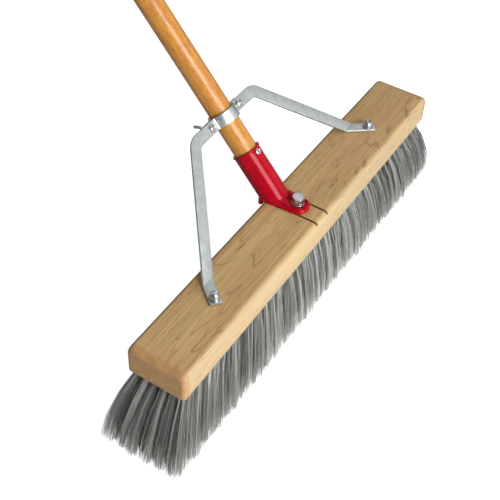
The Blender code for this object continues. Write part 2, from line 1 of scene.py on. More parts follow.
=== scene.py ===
"""The looks of a push broom: wooden block, six rows of grey bristles, an enamelled socket bracket,
a lacquered handle, and a galvanised strap brace clamped to the handle with two wing nuts.

Every size is in metres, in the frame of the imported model: X runs along the block, Z is up, and
the handle leans back towards +Y.
"""

import json
import logging
import math
from dataclasses import dataclass, field
from enum import Enum
from typing import Any, Callable, Mapping, Sequence

import bmesh
import bpy
from mathutils import Matrix, Vector


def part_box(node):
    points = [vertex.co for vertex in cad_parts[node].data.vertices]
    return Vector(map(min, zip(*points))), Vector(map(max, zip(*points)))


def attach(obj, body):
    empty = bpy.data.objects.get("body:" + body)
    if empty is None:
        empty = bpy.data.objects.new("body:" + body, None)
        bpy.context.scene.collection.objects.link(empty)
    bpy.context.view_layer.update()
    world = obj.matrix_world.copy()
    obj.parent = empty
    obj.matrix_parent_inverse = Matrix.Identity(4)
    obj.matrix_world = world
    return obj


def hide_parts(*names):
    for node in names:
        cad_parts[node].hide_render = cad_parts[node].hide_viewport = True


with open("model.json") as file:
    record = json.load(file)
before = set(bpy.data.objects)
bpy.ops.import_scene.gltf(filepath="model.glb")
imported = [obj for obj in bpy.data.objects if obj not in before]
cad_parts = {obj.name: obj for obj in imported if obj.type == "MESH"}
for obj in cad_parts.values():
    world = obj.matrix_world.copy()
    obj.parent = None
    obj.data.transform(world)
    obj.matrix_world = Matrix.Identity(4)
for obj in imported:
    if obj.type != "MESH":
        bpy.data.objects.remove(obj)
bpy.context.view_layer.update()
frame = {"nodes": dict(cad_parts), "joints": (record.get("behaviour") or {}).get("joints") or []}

log = logging.getLogger("push_broom")

MM = 0.001
GAP = 0.3 * MM  # between two pieces that rest on each other
SIDES = (-1, 1)
BLOCK_LOW, BLOCK_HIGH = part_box("block")
TRIM = BLOCK_LOW.z
BLOCK_TOP = BLOCK_HIGH.z
BEHIND = Vector(frame["joints"][0]["axis"]).normalized()
HANDLE_ANGLE = math.atan2(BEHIND.y, -BEHIND.z)
AXIS_RISE = 3.4 * MM  # from the block's underside to the handle's axis, at the middle of the block
AXIS_FRAME = (Matrix.Translation((0, 0, TRIM + AXIS_RISE))
              @ Matrix.Rotation(HANDLE_ANGLE - math.pi / 2, 4, "X"))  # Z up the handle, Y behind it

KERF_X = 9.7 * MM  # the saw kerfs, and the bracket's flanges in them
FIXING_Y = -1.6 * MM  # the bolt and the brace's feet
FOOT_X = 142.9 * MM
BOLT_HOLE = 3.4 * MM
BOLT_SEAT = 3.6 * MM  # the recess's floor above the block's top
RIVET_PLACE = 85.0 * MM  # up the handle's axis
CLAMP_PLACE = 128.8 * MM
CLAMP_SCREW_X = 22.6 * MM
STRAP_THICKNESS = 2.4 * MM
SLOT_WIDTH = 1.2 * MM  # of every slotted screw

Colour = tuple[float, float, float]
Ring = list[Vector]
Profile = list[tuple[float, float]]


class Slot(Enum):
    """The record's material slots."""

    BLOCK_WOOD = "block_wood"
    HANDLE_WOOD = "handle_wood"
    RED_ENAMEL = "red_enamel"
    GALVANISED_STRAP = "galvanised_strap"
    BRIGHT_ZINC = "bright_zinc"
    GREY_FIBRE = "grey_fibre"


class Body(Enum):
    """The bodies that pieces ride on."""

    BROOM = "broom"
    LEFT_WING_NUT = "left_wing_nut"
    RIGHT_WING_NUT = "right_wing_nut"


class Cut(Enum):
    """How one solid changes another."""

    ADD = "UNION"
    REMOVE = "DIFFERENCE"


# --- Node trees ----------------------------------------------------------------------------------


class Term:
    """A value in a node tree that plain arithmetic can be done with."""

    def __init__(self, sheet: "Sheet", socket: bpy.types.NodeSocket) -> None:
        """Args: sheet: the tree it belongs to. socket: the output that carries it."""
        self.sheet = sheet
        self.socket = socket

    def __add__(self, other: Any) -> "Term":
        """Returns the sum."""
        return self.sheet.math("ADD", self, other)

    def __radd__(self, other: Any) -> "Term":
        """Returns the sum."""
        return self.sheet.math("ADD", other, self)

    def __sub__(self, other: Any) -> "Term":
        """Returns the difference."""
        return self.sheet.math("SUBTRACT", self, other)

    def __rsub__(self, other: Any) -> "Term":
        """Returns the difference."""
        return self.sheet.math("SUBTRACT", other, self)

    def __mul__(self, other: Any) -> "Term":
        """Returns the product."""
        return self.sheet.math("MULTIPLY", self, other)

    def __rmul__(self, other: Any) -> "Term":
        """Returns the product."""
        return self.sheet.math("MULTIPLY", other, self)

    def __truediv__(self, other: Any) -> "Term":
        """Returns the quotient."""
        return self.sheet.math("DIVIDE", self, other)

    def __pow__(self, other: Any) -> "Term":
        """Returns the power."""
        return self.sheet.math("POWER", self, other)


class Sheet:
    """Adds nodes to one node tree and joins them."""

    def __init__(self, tree: bpy.types.NodeTree) -> None:
        """Args: tree: the tree to fill."""
        self.tree = tree

    def add(self, kind: str, feeds: Mapping[Any, Any] | None = None, **settings: Any) -> bpy.types.Node:
        """Add a node.

        Args:
            kind: the node's type.
            feeds: what goes into its sockets, by name or index.
            settings: properties of the node, set first.

        Returns:
            The node.
        """
        node = self.tree.nodes.new(kind)
        for name, value in settings.items():
            setattr(node, name, value)
        for key, value in (feeds or {}).items():
            self.feed(node.inputs[key], value)
        return node

    def feed(self, socket: bpy.types.NodeSocket, value: Any) -> None:
        """Link or set an input.

        Args:
            socket: the input.
            value: a term, a socket or a plain value.
        """
        if isinstance(value, Term):
            value = value.socket
        if isinstance(value, bpy.types.NodeSocket):
            self.tree.links.new(value, socket)
        else:
            socket.default_value = value

    def term(self, kind: str, feeds: Mapping[Any, Any] | None = None, output: Any = 0,
             **settings: Any) -> Term:
        """Returns one output of a new node as a term; the arguments are those of add."""
        return Term(self, self.add(kind, feeds, **settings).outputs[output])

    def math(self, operation: str, *values: Any) -> Term:
        """Returns the result of a Math node."""
        return self.term("ShaderNodeMath", dict(enumerate(values)), operation=operation)

    def fit(self, value: Any, low: float, high: float, start: float = 0.0, end: float = 1.0) -> Term:
        """Returns value eased from start at low to end at high, and held there beyond them."""
        return self.term("ShaderNodeMapRange", {0: value, 1: low, 2: high, 3: start, 4: end},
                         interpolation_type="SMOOTHSTEP")

    def vector(self, operation: str, *values: Any) -> Term:
        """Returns the result of a Vector Math node."""
        return self.term("ShaderNodeVectorMath", dict(enumerate(values)), operation=operation)

    def scaled(self, vector: Any, factor: Any) -> Term:
        """Returns the vector multiplied by one number."""
        return self.term("ShaderNodeVectorMath", {0: vector, "Scale": factor}, operation="SCALE")

    def stretch(self, vector: Any, factors: Colour) -> Term:
        """Returns the vector multiplied by a factor for each axis."""
        return self.vector("MULTIPLY", vector, factors)

    def parts(self, vector: Any) -> tuple[Term, Term, Term]:
        """Returns a vector's X, Y and Z."""
        node = self.add("ShaderNodeSeparateXYZ", {0: vector})
        return Term(self, node.outputs[0]), Term(self, node.outputs[1]), Term(self, node.outputs[2])

    def joined(self, x: Any, y: Any, z: Any) -> Term:
        """Returns a vector made of three numbers."""
        return self.term("ShaderNodeCombineXYZ", {0: x, 1: y, 2: z})

    def noise(self, vector: Any, scale: Any = 1.0, detail: float = 2.0, roughness: float = 0.5,
              distortion: float = 0.0) -> Term:
        """Returns a noise value from 0 to 1 over the vector."""
        return self.term("ShaderNodeTexNoise", {"Vector": vector, "Scale": scale, "Detail": detail,
                                                "Roughness": roughness, "Distortion": distortion})

    def blend(self, share: Any, low: Any, high: Any, kind: str = "MIX") -> Term:
        """Mix two colours.

        Args:
            share: how much of the second, from 0 to 1.
            low: the first colour.
            high: the second colour.
            kind: the way of mixing.

        Returns:
            The mixed colour.
        """
        colours = [(*c, 1.0) if isinstance(c, tuple) and len(c) == 3 else c for c in (low, high)]
        return self.term("ShaderNodeMix", {0: share, 6: colours[0], 7: colours[1]}, 2,
                         data_type="RGBA", blend_type=kind)

    def group(self, tree: bpy.types.NodeTree, **feeds: Any) -> dict[str, Term]:
        """Place a shader group.

        Args:
            tree: the group's tree.
            feeds: its inputs, with underscores for the spaces in their names.

        Returns:
            Its outputs by name.
        """
        node = self.add("ShaderNodeGroup", node_tree=tree)
        for name, value in feeds.items():
            self.feed(node.inputs[name.replace("_", " ")], value)
        return {out.name: Term(self, out) for out in node.outputs}

    def close(self, leave: bpy.types.Node, **results: Any) -> bpy.types.NodeTree:
        """Feed the tree's outputs.

        Args:
            leave: its output node.
            results: a value for each output, by name.

        Returns:
            The tree.
        """
        for name, value in results.items():
            self.feed(leave.inputs[name], value)
        return self.tree


def new_group(name: str, kind: str, inputs: Sequence[tuple[str, str, Any]],
              outputs: Sequence[tuple[str, str]]) -> tuple[Sheet, dict[str, Term], bpy.types.Node]:
    """Make a node group with named sockets.

    Args:
        name: the group's name.
        kind: the tree type.
        inputs: name, socket type and default value of each input.
        outputs: name and socket type of each output.

    Returns:
        The sheet, the inputs as terms, and the output node.
    """
    tree = bpy.data.node_groups.new(name, kind)
    for label, socket_type, value in inputs:
        made = tree.interface.new_socket(name=label, in_out="INPUT", socket_type=socket_type)
        if value is not None:
            made.default_value = value
    for label, socket_type in outputs:
        tree.interface.new_socket(name=label, in_out="OUTPUT", socket_type=socket_type)
    sheet = Sheet(tree)
    entry = sheet.add("NodeGroupInput")
    leave = sheet.add("NodeGroupOutput")
    return sheet, {out.name: Term(sheet, out) for out in entry.outputs if out.name}, leave


FLOAT, VECTOR, INTEGER = "NodeSocketFloat", "NodeSocketVector", "NodeSocketInt"


class Effects:
    """The shader groups that several finishes share, each built once."""

    _made: dict[str, bpy.types.NodeTree] = {}

    @classmethod
    def get(cls, name: str, build: Callable[[str], bpy.types.NodeTree]) -> bpy.types.NodeTree:
        """Find a group, or build it on first use.

        Args:
            name: the group's name.
            build: the function that builds it.

        Returns:
            The group.
        """
        if name not in cls._made:
            cls._made[name] = build(name)
        return cls._made[name]

    @classmethod
    def grain(cls) -> bpy.types.NodeTree:
        """Returns the wood grain group; the grain runs along its vector's X."""
        return cls.get("wood grain", cls._build_grain)

    @classmethod
    def wear(cls) -> bpy.types.NodeTree:
        """Returns the group of smudges, fine scratches and dust specks."""
        return cls.get("handling wear", cls._build_wear)

    @classmethod
    def relief(cls) -> bpy.types.NodeTree:
        """Returns the group for a coating's or a casting's uneven skin."""
        return cls.get("skin relief", cls._build_relief)

    @staticmethod
    def _build_grain(name: str) -> bpy.types.NodeTree:
        """Growth rings about a far pith, long streaks and short pores.

        Args:
            name: the group's name.

        Returns:
            The group.
        """
        sheet, given, leave = new_group(
            name, "ShaderNodeTree",
            [("Vector", VECTOR, None), ("Ring Width", FLOAT, 0.003), ("Pith Depth", FLOAT, 0.05),
             ("Waviness", FLOAT, 1.0), ("Fineness", FLOAT, 1.0)],
            [("Band", FLOAT), ("Streak", FLOAT), ("Pore", FLOAT), ("Height", FLOAT)])
        place = given["Vector"]
        slow = sheet.noise(sheet.stretch(place, (4.0, 22.0, 22.0)), 1.0, 2.0)
        quick = sheet.noise(sheet.stretch(place, (14.0, 120.0, 120.0)), 1.0, 2.0)
        _, y, z = sheet.parts(place)
        depth = z + given["Pith Depth"]
        radius = sheet.math("SQRT", y * y + depth * depth)
        rings = (radius / given["Ring Width"] + (slow - 0.5) * given["Waviness"] * 7.0
                 + (quick - 0.5) * given["Waviness"] * 0.9)
        part = sheet.math("FRACT", rings)
        band = sheet.fit(part, 0.0, 0.78) * sheet.fit(part, 1.0, 0.86)
        fine = sheet.scaled(sheet.stretch(place, (0.012, 1.0, 1.0)), given["Fineness"])
        streak = sheet.noise(fine, 320.0, 4.0, 0.6)
        short = sheet.scaled(sheet.stretch(place, (0.05, 1.0, 1.0)), given["Fineness"])
        pore = sheet.fit(sheet.noise(short, 900.0, 1.0), 0.64, 0.74)
        return sheet.close(leave, Band=band, Streak=streak, Pore=pore,
                           Height=streak * 0.5 + band * 0.2 - pore * 0.6)

    @staticmethod
    def _build_wear(name: str) -> bpy.types.NodeTree:
        """Smudges in patches, scratches where two stretched noises cross their middle, specks.

        Args:
            name: the group's name.

        Returns:
            The group.
        """
        sheet, given, leave = new_group(
            name, "ShaderNodeTree", [("Vector", VECTOR, None), ("Scale", FLOAT, 1.0)],
            [("Smudge", FLOAT), ("Scratch", FLOAT), ("Speck", FLOAT)])
        place = sheet.scaled(given["Vector"], given["Scale"])
        smudge = sheet.fit(sheet.noise(place, 55.0, 4.0, 0.6), 0.3, 0.7)
        gate = sheet.fit(sheet.noise(place, 130.0, 1.0), 0.5, 0.62)
        scratch = None
        for factors in ((300.0, 40.0, 160.0), (60.0, 340.0, 90.0)):
            line = sheet.noise(sheet.stretch(place, factors), 1.0, 0.0)
            thin = sheet.fit(sheet.math("ABSOLUTE", line - 0.5), 0.0, 0.012, 1.0, 0.0)
            scratch = thin if scratch is None else sheet.math("MAXIMUM", scratch, thin)
        speck = sheet.fit(sheet.noise(place, 1400.0, 0.0), 0.74, 0.8)
        return sheet.close(leave, Smudge=smudge, Scratch=scratch * gate, Speck=speck)

    @staticmethod
    def _build_relief(name: str) -> bpy.types.NodeTree:
        """Broad waves with a fine tooth on them.

        Args:
            name: the group's name.

        Returns:
            The group.
        """
        sheet, given, leave = new_group(
            name, "ShaderNodeTree",
            [("Vector", VECTOR, None), ("Wave", FLOAT, 300.0), ("Tooth", FLOAT, 3000.0),
             ("Tooth Share", FLOAT, 0.2)], [("Height", FLOAT)])
        wave = sheet.noise(given["Vector"], given["Wave"], 2.0)
        tooth = sheet.noise(given["Vector"], given["Tooth"], 1.0)
        return sheet.close(leave, Height=wave + (tooth - wave) * given["Tooth Share"])


# --- Finishes ------------------------------------------------------------------------------------


@dataclass(frozen=True)
class Finish:
    """A finish on one material slot; each kind paints its own shader."""

    slot: Slot
    label: str

    def material(self) -> bpy.types.Material:
        """Make the material, or find it where it is already made.

        Returns:
            The material.
        """
        made = bpy.data.materials.get(self.label)
        if made is None:
            made = bpy.data.materials.new(self.label)
            made.use_nodes = True
            sheet = Sheet(made.node_tree)
            shader = made.node_tree.nodes["Principled BSDF"]
            self.paint(sheet, shader, sheet.term("ShaderNodeTexCoord", output="Object"))
        return made

    def paint(self, sheet: Sheet, shader: bpy.types.Node, place: Term) -> None:
        """Fill the material's tree; each finish has its own."""
        raise NotImplementedError

    @staticmethod
    def bump(sheet: Sheet, shader: bpy.types.Node, height: Term, strength: float, depth: float) -> None:
        """Raise the surface by a height.

        Args:
            sheet: the material's nodes.
            shader: the shader whose normal changes.
            height: the height, from about 0 to 1.
            strength: how strongly it shows.
            depth: the height of 1, in metres.
        """
        node = sheet.add("ShaderNodeBump", {"Height": height, "Strength": strength, "Distance": depth})
        sheet.feed(shader.inputs["Normal"], node.outputs["Normal"])


@dataclass(frozen=True)
class BlockWood(Finish):
    """Planed pale hardwood under a thin clear finish, brown at the ends; the sawn front is painted paler as
    painted light, and the saw kerfs darker as painted shade.
    """

    slot: Slot = Slot.BLOCK_WOOD
    label: str = "block wood"
    pale: Colour = (0.66, 0.452, 0.200)
    tan: Colour = (0.485, 0.300, 0.120)
    rosy: Colour = (0.48, 0.278, 0.122)
    brown: Colour = (0.22, 0.110, 0.042)
    # painted light: the paler, creamier tone laid on the front face, where the front lamp falls
    front_light_cream: Colour = (0.64, 0.545, 0.335)
    straw: Colour = (0.50, 0.345, 0.125)
    # painted shade: the dark brown laid in and along the saw kerfs
    kerf_shade: Colour = (0.13, 0.062, 0.026)
    end_tone: Colour = (0.56, 0.305, 0.120)
    end_dark: Colour = (0.42, 0.208, 0.084)
    kerf_reach: float = 1.5 * MM
    kerf_core: float = 0.8 * MM
    kerf_depth: tuple[float, float] = (4.0 * MM, 2.0 * MM)

    def figure(self, sheet: Sheet, place: Term) -> Term:
        """Growth lines that wander, a few that follow the front edge, and clusters of short flecks.

        Args:
            sheet: the material's nodes.
            place: where on the block, in metres.

        Returns:
            A mask from 0 to 1.
        """
        x, y, _ = sheet.parts(place)
        wander = sheet.noise(sheet.stretch(place, (5.0, 24.0, 24.0)), 1.0, 3.0, 0.5, 0.7) * 12.0
        part = sheet.math("ABSOLUTE", sheet.math("FRACT", wander) - 0.5)
        gate = sheet.fit(sheet.noise(sheet.stretch(place, (9.0, 30.0, 30.0)), 1.0, 2.0), 0.46, 0.64)
        right = sheet.fit(y, -4.0 * MM, -14.0 * MM) * sheet.fit(x, 15.0 * MM, 45.0 * MM)
        lines = sheet.fit(part, 0.0, 0.15, 1.0, 0.0) ** 1.6 * sheet.math("MAXIMUM", gate, right)
        along = sheet.noise(sheet.stretch(place, (2.6, 70.0, 70.0)), 1.0, 2.0, 0.5, 0.3) * 9.0
        edge = sheet.math("ABSOLUTE", sheet.math("FRACT", along) - 0.5)
        follow = (sheet.fit(edge, 0.0, 0.17, 1.0, 0.0) * sheet.fit(y, -17.0 * MM, -25.0 * MM)
                  * sheet.fit(sheet.noise(sheet.stretch(place, (12.0, 6.0, 6.0)), 1.0, 1.0), 0.40, 0.58))
        cluster = sheet.fit(sheet.noise(sheet.stretch(place, (16.0, 48.0, 48.0)), 1.0, 1.0), 0.42, 0.60)
        flecks = sheet.fit(sheet.noise(sheet.stretch(place, (75.0, 640.0, 640.0)), 1.0, 1.0), 0.56, 0.70)
        return sheet.math("MAXIMUM", sheet.math("MAXIMUM", lines, follow * 0.8), flecks * cluster * 0.75)

    def paint(self, sheet: Sheet, shader: bpy.types.Node, place: Term) -> None:
        """Solid grain along X, the end grain soaked darker, painted light paling the front face and painted
        shade darkening the sawn kerfs.

        Args:
            sheet: the material's nodes.
            shader: the material's shader.
            place: where on the piece, in metres.
        """
        grain = sheet.group(Effects.grain(), Vector=place, Ring_Width=0.0085, Pith_Depth=-0.02,
                            Waviness=0.55, Fineness=1.0)
        wear = sheet.group(Effects.wear(), Vector=place, Scale=1.0)
        x, y, z = sheet.parts(place)
        patch = sheet.fit(sheet.noise(sheet.stretch(place, (7.0, 26.0, 26.0)), 1.0, 3.0, 0.6), 0.38, 0.66)
        olive = sheet.fit(sheet.noise(sheet.stretch(place, (5.0, 34.0, 34.0)), 1.3, 2.0, 0.5), 0.42, 0.66)
        tone = sheet.blend(sheet.fit(grain["Streak"], 0.30, 0.70), self.tan, self.pale)
        tone = sheet.blend(grain["Band"] * 0.45, tone, self.rosy)
        tone = sheet.blend(patch * 0.45, tone, self.rosy)
        tone = sheet.blend(olive * 0.4, tone, self.straw)
        tone = sheet.blend(self.figure(sheet, place) * 0.62, tone, self.brown)
        behind = sheet.fit(y, 25.0 * MM, 29.0 * MM)
        tone = sheet.blend(behind * 0.55, tone, self.brown)
        # painted light: the front face and its round-over are painted paler and creamier
        front = sheet.fit(y, -25.5 * MM, -29.5 * MM)
        tone = sheet.blend(front * 0.42, tone, self.front_light_cream)
        ends = sheet.fit(sheet.math("ABSOLUTE", x), BLOCK_HIGH.x - 9.5 * MM, BLOCK_HIGH.x - 5.0 * MM)
        soaked = sheet.noise(sheet.stretch(place, (160.0, 90.0, 260.0)), 1.0, 4.0, 0.65)
        soaked = sheet.fit(soaked, 0.36, 0.64)
        tone = sheet.blend(ends * 0.72, tone, sheet.blend(soaked, self.end_tone, self.end_dark))
        tone = sheet.blend(grain["Pore"] * 0.55, tone, self.brown)
        # painted shade: the saw kerfs and their lips are painted dark brown
        across = sheet.math("ABSOLUTE", sheet.math("ABSOLUTE", x) - KERF_X)
        low, high = (BLOCK_TOP - depth for depth in self.kerf_depth)
        kerf_shade_mask = sheet.fit(across, self.kerf_reach, self.kerf_core) * sheet.fit(z, low, high)
        tone = sheet.blend(kerf_shade_mask, tone, self.kerf_shade)
        sheet.feed(shader.inputs["Base Color"], tone)
        sheet.feed(shader.inputs["Roughness"], 0.44 + grain["Pore"] * 0.2 + wear["Smudge"] * 0.12)
        shader.inputs["Specular IOR Level"].default_value = 0.4
        self.bump(sheet, shader, grain["Height"], 0.35, 0.25 * MM)


@dataclass(frozen=True)
class HandleWood(Finish):
    """Turned hardwood under amber lacquer, with long fine grain."""

    slot: Slot = Slot.HANDLE_WOOD
    label: str = "amber lacquered wood"
    honey: Colour = (0.74, 0.335, 0.064)
    amber: Colour = (0.56, 0.222, 0.031)
    brown: Colour = (0.25, 0.080, 0.012)

    def paint(self, sheet: Sheet, shader: bpy.types.Node, place: Term) -> None:
        """Grain along the handle under a smooth coat.

        Args:
            sheet: the material's nodes.
            shader: the material's shader.
            place: where on the piece, in metres.
        """
        stood = sheet.term("ShaderNodeMapping",
                           {"Vector": place, "Rotation": (math.pi / 2 - HANDLE_ANGLE, 0.0, 0.0)})
        x, y, z = sheet.parts(stood)
        along = sheet.joined(z, x, y)
        grain = sheet.group(Effects.grain(), Vector=along, Ring_Width=0.0042, Pith_Depth=0.012,
                            Waviness=0.5, Fineness=1.5)
        wear = sheet.group(Effects.wear(), Vector=place, Scale=0.6)
        tone = sheet.blend(sheet.fit(grain["Streak"], 0.3, 0.7), self.amber, self.honey)
        tone = sheet.blend(grain["Band"] * 0.35, tone, self.amber)
        tone = sheet.blend(grain["Pore"] * 0.5, tone, self.brown)
        mottle = sheet.noise(sheet.stretch(along, (70.0, 190.0, 190.0)), 1.0, 4.0, 0.7)
        tone = sheet.blend(sheet.fit(mottle, 0.44, 0.62) * 0.34, tone, self.brown)
        speckle = sheet.noise(sheet.stretch(along, (420.0, 900.0, 900.0)), 1.0, 1.0)
        tone = sheet.blend(sheet.fit(speckle, 0.50, 0.66) * 0.34, tone, self.brown)
        cloud = sheet.fit(sheet.noise(sheet.stretch(along, (9.0, 40.0, 40.0)), 1.0, 2.0), 0.3, 0.75)
        tone = sheet.blend(cloud * 0.3, tone, self.honey)
        sheet.feed(shader.inputs["Base Color"], tone)
        sheet.feed(shader.inputs["Roughness"], 0.36 + wear["Smudge"] * 0.14 + wear["Scratch"] * 0.15)
        shader.inputs["Specular IOR Level"].default_value = 0.35
        shader.inputs["Coat Weight"].default_value = 0.35
        shader.inputs["Coat Roughness"].default_value = 0.2
        relief = sheet.group(Effects.relief(), Vector=along, Wave=240.0, Tooth=1300.0, Tooth_Share=0.35)
        self.bump(sheet, shader, grain["Height"] * 0.35 + relief["Height"] * 0.65, 0.3, 0.2 * MM)


@dataclass(frozen=True)
class RedEnamel(Finish):
    """Glossy red enamel on pressed steel."""

    slot: Slot = Slot.RED_ENAMEL
    label: str = "red enamel"
    red: Colour = (0.50, 0.0012, 0.014)
    deep: Colour = (0.33, 0.0008, 0.008)
    dust: Colour = (0.62, 0.08, 0.10)

    def paint(self, sheet: Sheet, shader: bpy.types.Node, place: Term) -> None:
        """Orange peel, a few specks, and smudges that dull the gloss.

        Args:
            sheet: the material's nodes.
            shader: the material's shader.
            place: where on the piece, in metres.
        """
        wear = sheet.group(Effects.wear(), Vector=place, Scale=1.4)
        relief = sheet.group(Effects.relief(), Vector=place, Wave=420.0, Tooth=2200.0, Tooth_Share=0.15)
        tone = sheet.blend(sheet.noise(place, 90.0, 3.0), self.deep, self.red)
        tone = sheet.blend(wear["Speck"] * 0.35, tone, self.dust)
        sheet.feed(shader.inputs["Base Color"], tone)
        sheet.feed(shader.inputs["Roughness"], 0.16 + wear["Smudge"] * 0.12 + wear["Scratch"] * 0.2)
        shader.inputs["Specular IOR Level"].default_value = 0.12
        shader.inputs["Specular Tint"].default_value = (1.0, 0.55, 0.62, 1.0)
        shader.inputs["Coat Weight"].default_value = 0.2
        shader.inputs["Coat Tint"].default_value = (1.0, 0.86, 0.88, 1.0)
        shader.inputs["Coat Roughness"].default_value = 0.08
        self.bump(sheet, shader, relief["Height"], 0.22, 0.12 * MM)


@dataclass(frozen=True)
class PlatedSteel(Finish):
    """Bare or plated steel; the numbers set how bright and how even it is."""

    slot: Slot = Slot.BRIGHT_ZINC
    label: str = "bright zinc plating"
    bright: Colour = (0.76, 0.79, 0.82)
    dull: Colour = (0.52, 0.56, 0.62)
    roughness: float = 0.17
    smudged: float = 0.14
    wave: float = 500.0
    relief: float = 0.05 * MM

    def paint(self, sheet: Sheet, shader: bpy.types.Node, place: Term) -> None:
        """Cloudy plating with fine scratches.

        Args:
            sheet: the material's nodes.
            shader: the material's shader.
            place: where on the piece, in metres.
        """
        wear = sheet.group(Effects.wear(), Vector=place, Scale=1.6)
        skin = sheet.group(Effects.relief(), Vector=place, Wave=self.wave, Tooth=3600.0, Tooth_Share=0.3)
        cloud = sheet.fit(sheet.noise(place, 160.0, 4.0, 0.65), 0.3, 0.7)
        tone = sheet.blend(cloud, self.dull, self.bright)
        tone = sheet.blend(wear["Scratch"] * 0.4, tone, self.bright)
        tone = sheet.blend(wear["Speck"] * 0.35, tone, self.dull)
        sheet.feed(shader.inputs["Base Color"], tone)
        sheet.feed(shader.inputs["Roughness"],
                   self.roughness + wear["Smudge"] * self.smudged + wear["Scratch"] * 0.1)
        shader.inputs["Metallic"].default_value = 1.0
        self.bump(sheet, shader, skin["Height"], 0.25, self.relief)


@dataclass(frozen=True)
class GreyFibre(Finish):
    """Grey synthetic fibre with flagged, lighter tips; reads each fibre's own tone."""

    slot: Slot = Slot.GREY_FIBRE
    label: str = "grey flagged fibre"
    shadow: Colour = (0.075, 0.076, 0.070)
    grey: Colour = (0.47, 0.475, 0.447)
    light: Colour = (0.86, 0.865, 0.81)

    def paint(self, sheet: Sheet, shader: bpy.types.Node, place: Term) -> None:
        """Tone by fibre, lighter towards the flagged ends, with faint mottling.

        Args:
            sheet: the material's nodes.
            shader: the material's shader.
            place: where on the piece, in metres.
        """
        tone = sheet.term("ShaderNodeAttribute", output="Fac", attribute_name="fibre_tone")
        reach = sheet.term("ShaderNodeAttribute", output="Fac", attribute_name="fibre_reach")
        mottle = sheet.noise(place, 700.0, 1.0)
        shade = sheet.blend(sheet.fit(tone + (mottle - 0.5) * 0.25, 0.05, 0.75), self.shadow, self.grey)
        shade = sheet.blend(sheet.fit(tone, 0.62, 1.0), shade, self.light)
        shade = sheet.blend(sheet.fit(reach, 0.55, 1.0) * (0.25 + tone * 0.45), shade, self.light)
        sheet.feed(shader.inputs["Base Color"], shade)
        sheet.feed(shader.inputs["Roughness"], 0.52 + mottle * 0.15)
        shader.inputs["Specular IOR Level"].default_value = 0.35


BLOCK_FINISH = BlockWood()
HANDLE_FINISH = HandleWood()
ENAMEL_FINISH = RedEnamel()
ZINC_FINISH = PlatedSteel()
STRAP_FINISH = PlatedSteel(Slot.GALVANISED_STRAP, "satin galvanising", (0.66, 0.70, 0.685),
                           (0.55, 0.59, 0.575), 0.36, 0.12, 260.0, 0.04 * MM)
FIBRE_FINISH = GreyFibre()


# --- Meshes --------------------------------------------------------------------------------------


def show(name: str, data: Any) -> bpy.types.Object:
    """Put something in the scene.

    Args:
        name: the new object's name.
        data: its mesh, lamp or camera.

    Returns:
        The object, at the origin.
    """
    made = bpy.data.objects.new(name, data)
    bpy.context.scene.collection.objects.link(made)
    return made


def smoothed(piece: bpy.types.Object, sharp: float = 35.0) -> bpy.types.Object:
    """Shade a piece smooth.

    Args:
        piece: the piece.
        sharp: edges that turn more than this many degrees stay sharp.

    Returns:
        The piece.
    """
    piece.data.shade_smooth()
    piece.data.set_sharp_from_angle(angle=math.radians(sharp))
    return piece


def skin(name: str, rings: Sequence[Sequence[Vector]], place: Matrix | None = None,
         closed: bool = False, sharp: float = 35.0) -> bpy.types.Object:
    """Skin rings of equally many points.

    Args:
        name: the object's name.
        rings: the rings in order.
        place: where the rings' own frame lies.
        closed: whether the last ring joins the first; otherwise both ends are capped.
        sharp: edges that turn more than this many degrees stay sharp.

    Returns:
        The object, with its place in its mesh.
    """
    work = bmesh.new()
    rows = [[work.verts.new(point) for point in ring] for ring in rings]
    pairs = list(zip(rows, rows[1:]))
    if closed:
        pairs.append((rows[-1], rows[0]))
    for low, high in pairs:
        for i in range(len(low)):
            j = (i + 1) % len(low)
            work.faces.new((low[i], low[j], high[j], high[i]))
    if not closed:
        work.faces.new(rows[0])
        work.faces.new(rows[-1])
    bmesh.ops.remove_doubles(work, verts=work.verts, dist=1e-7)
    if place is not None:
        bmesh.ops.transform(work, matrix=place, verts=work.verts)
    bmesh.ops.recalc_face_normals(work, faces=work.faces)
    mesh = bpy.data.meshes.new(name)
    work.to_mesh(mesh)
    work.free()
    return smoothed(show(name, mesh), sharp)


def circle(radius: float, height: float, count: int = 48) -> Ring:
    """Returns points round Z."""
    turns = [2 * math.pi * i / count for i in range(count)]
    return [Vector((radius * math.cos(a), radius * math.sin(a), height)) for a in turns]


def turned(name: str, profile: Profile, place: Matrix | None = None, count: int = 48,
           closed: bool = False) -> bpy.types.Object:
    """Returns a turned solid from (radius, height) pairs; a closed profile makes a ring."""
    return skin(name, [circle(r, z, count) for r, z in profile], place, closed)


def eased(profile: Profile, radius: float, closed: bool = True) -> Profile:
    """Round a profile's corners.

    Args:
        profile: (radius, height) pairs.
        radius: how far along each side a corner's rounding starts.
        closed: whether the profile is a loop; the ends of an open one stay.

    Returns:
        The rounded profile.
    """
    points = [Vector(p) for p in profile]
    made: Profile = []
    for i, here in enumerate(points):
        if not closed and i in (0, len(points) - 1):
            made.append(tuple(here))
            continue
        before, after = points[i - 1], points[(i + 1) % len(points)]
        start = here + (before - here).normalized() * min(radius, (before - here).length * 0.45)
        end = here + (after - here).normalized() * min(radius, (after - here).length * 0.45)
        for t in (0.0, 1 / 3, 2 / 3, 1.0):
            made.append(tuple(start * (1 - t) ** 2 + here * 2 * t * (1 - t) + end * t ** 2))
    return made


def washer_profile(hole: float, outer: float, low: float, thick: float, ease: float) -> Profile:
    """Returns a washer's closed (radius, height) profile with its corners eased."""
    high = low + thick
    return eased([(hole, low), (outer, low), (outer, high), (hole, high)], ease)


def arc(centre: tuple[float, float], radius: float, start: float, sweep: float, steps: int) -> Ring:
    """Returns points on a flat arc; the angles are in radians."""
    turns = [start + sweep * i / steps for i in range(steps + 1)]
    return [Vector(centre) + radius * Vector((math.cos(a), math.sin(a))) for a in turns]


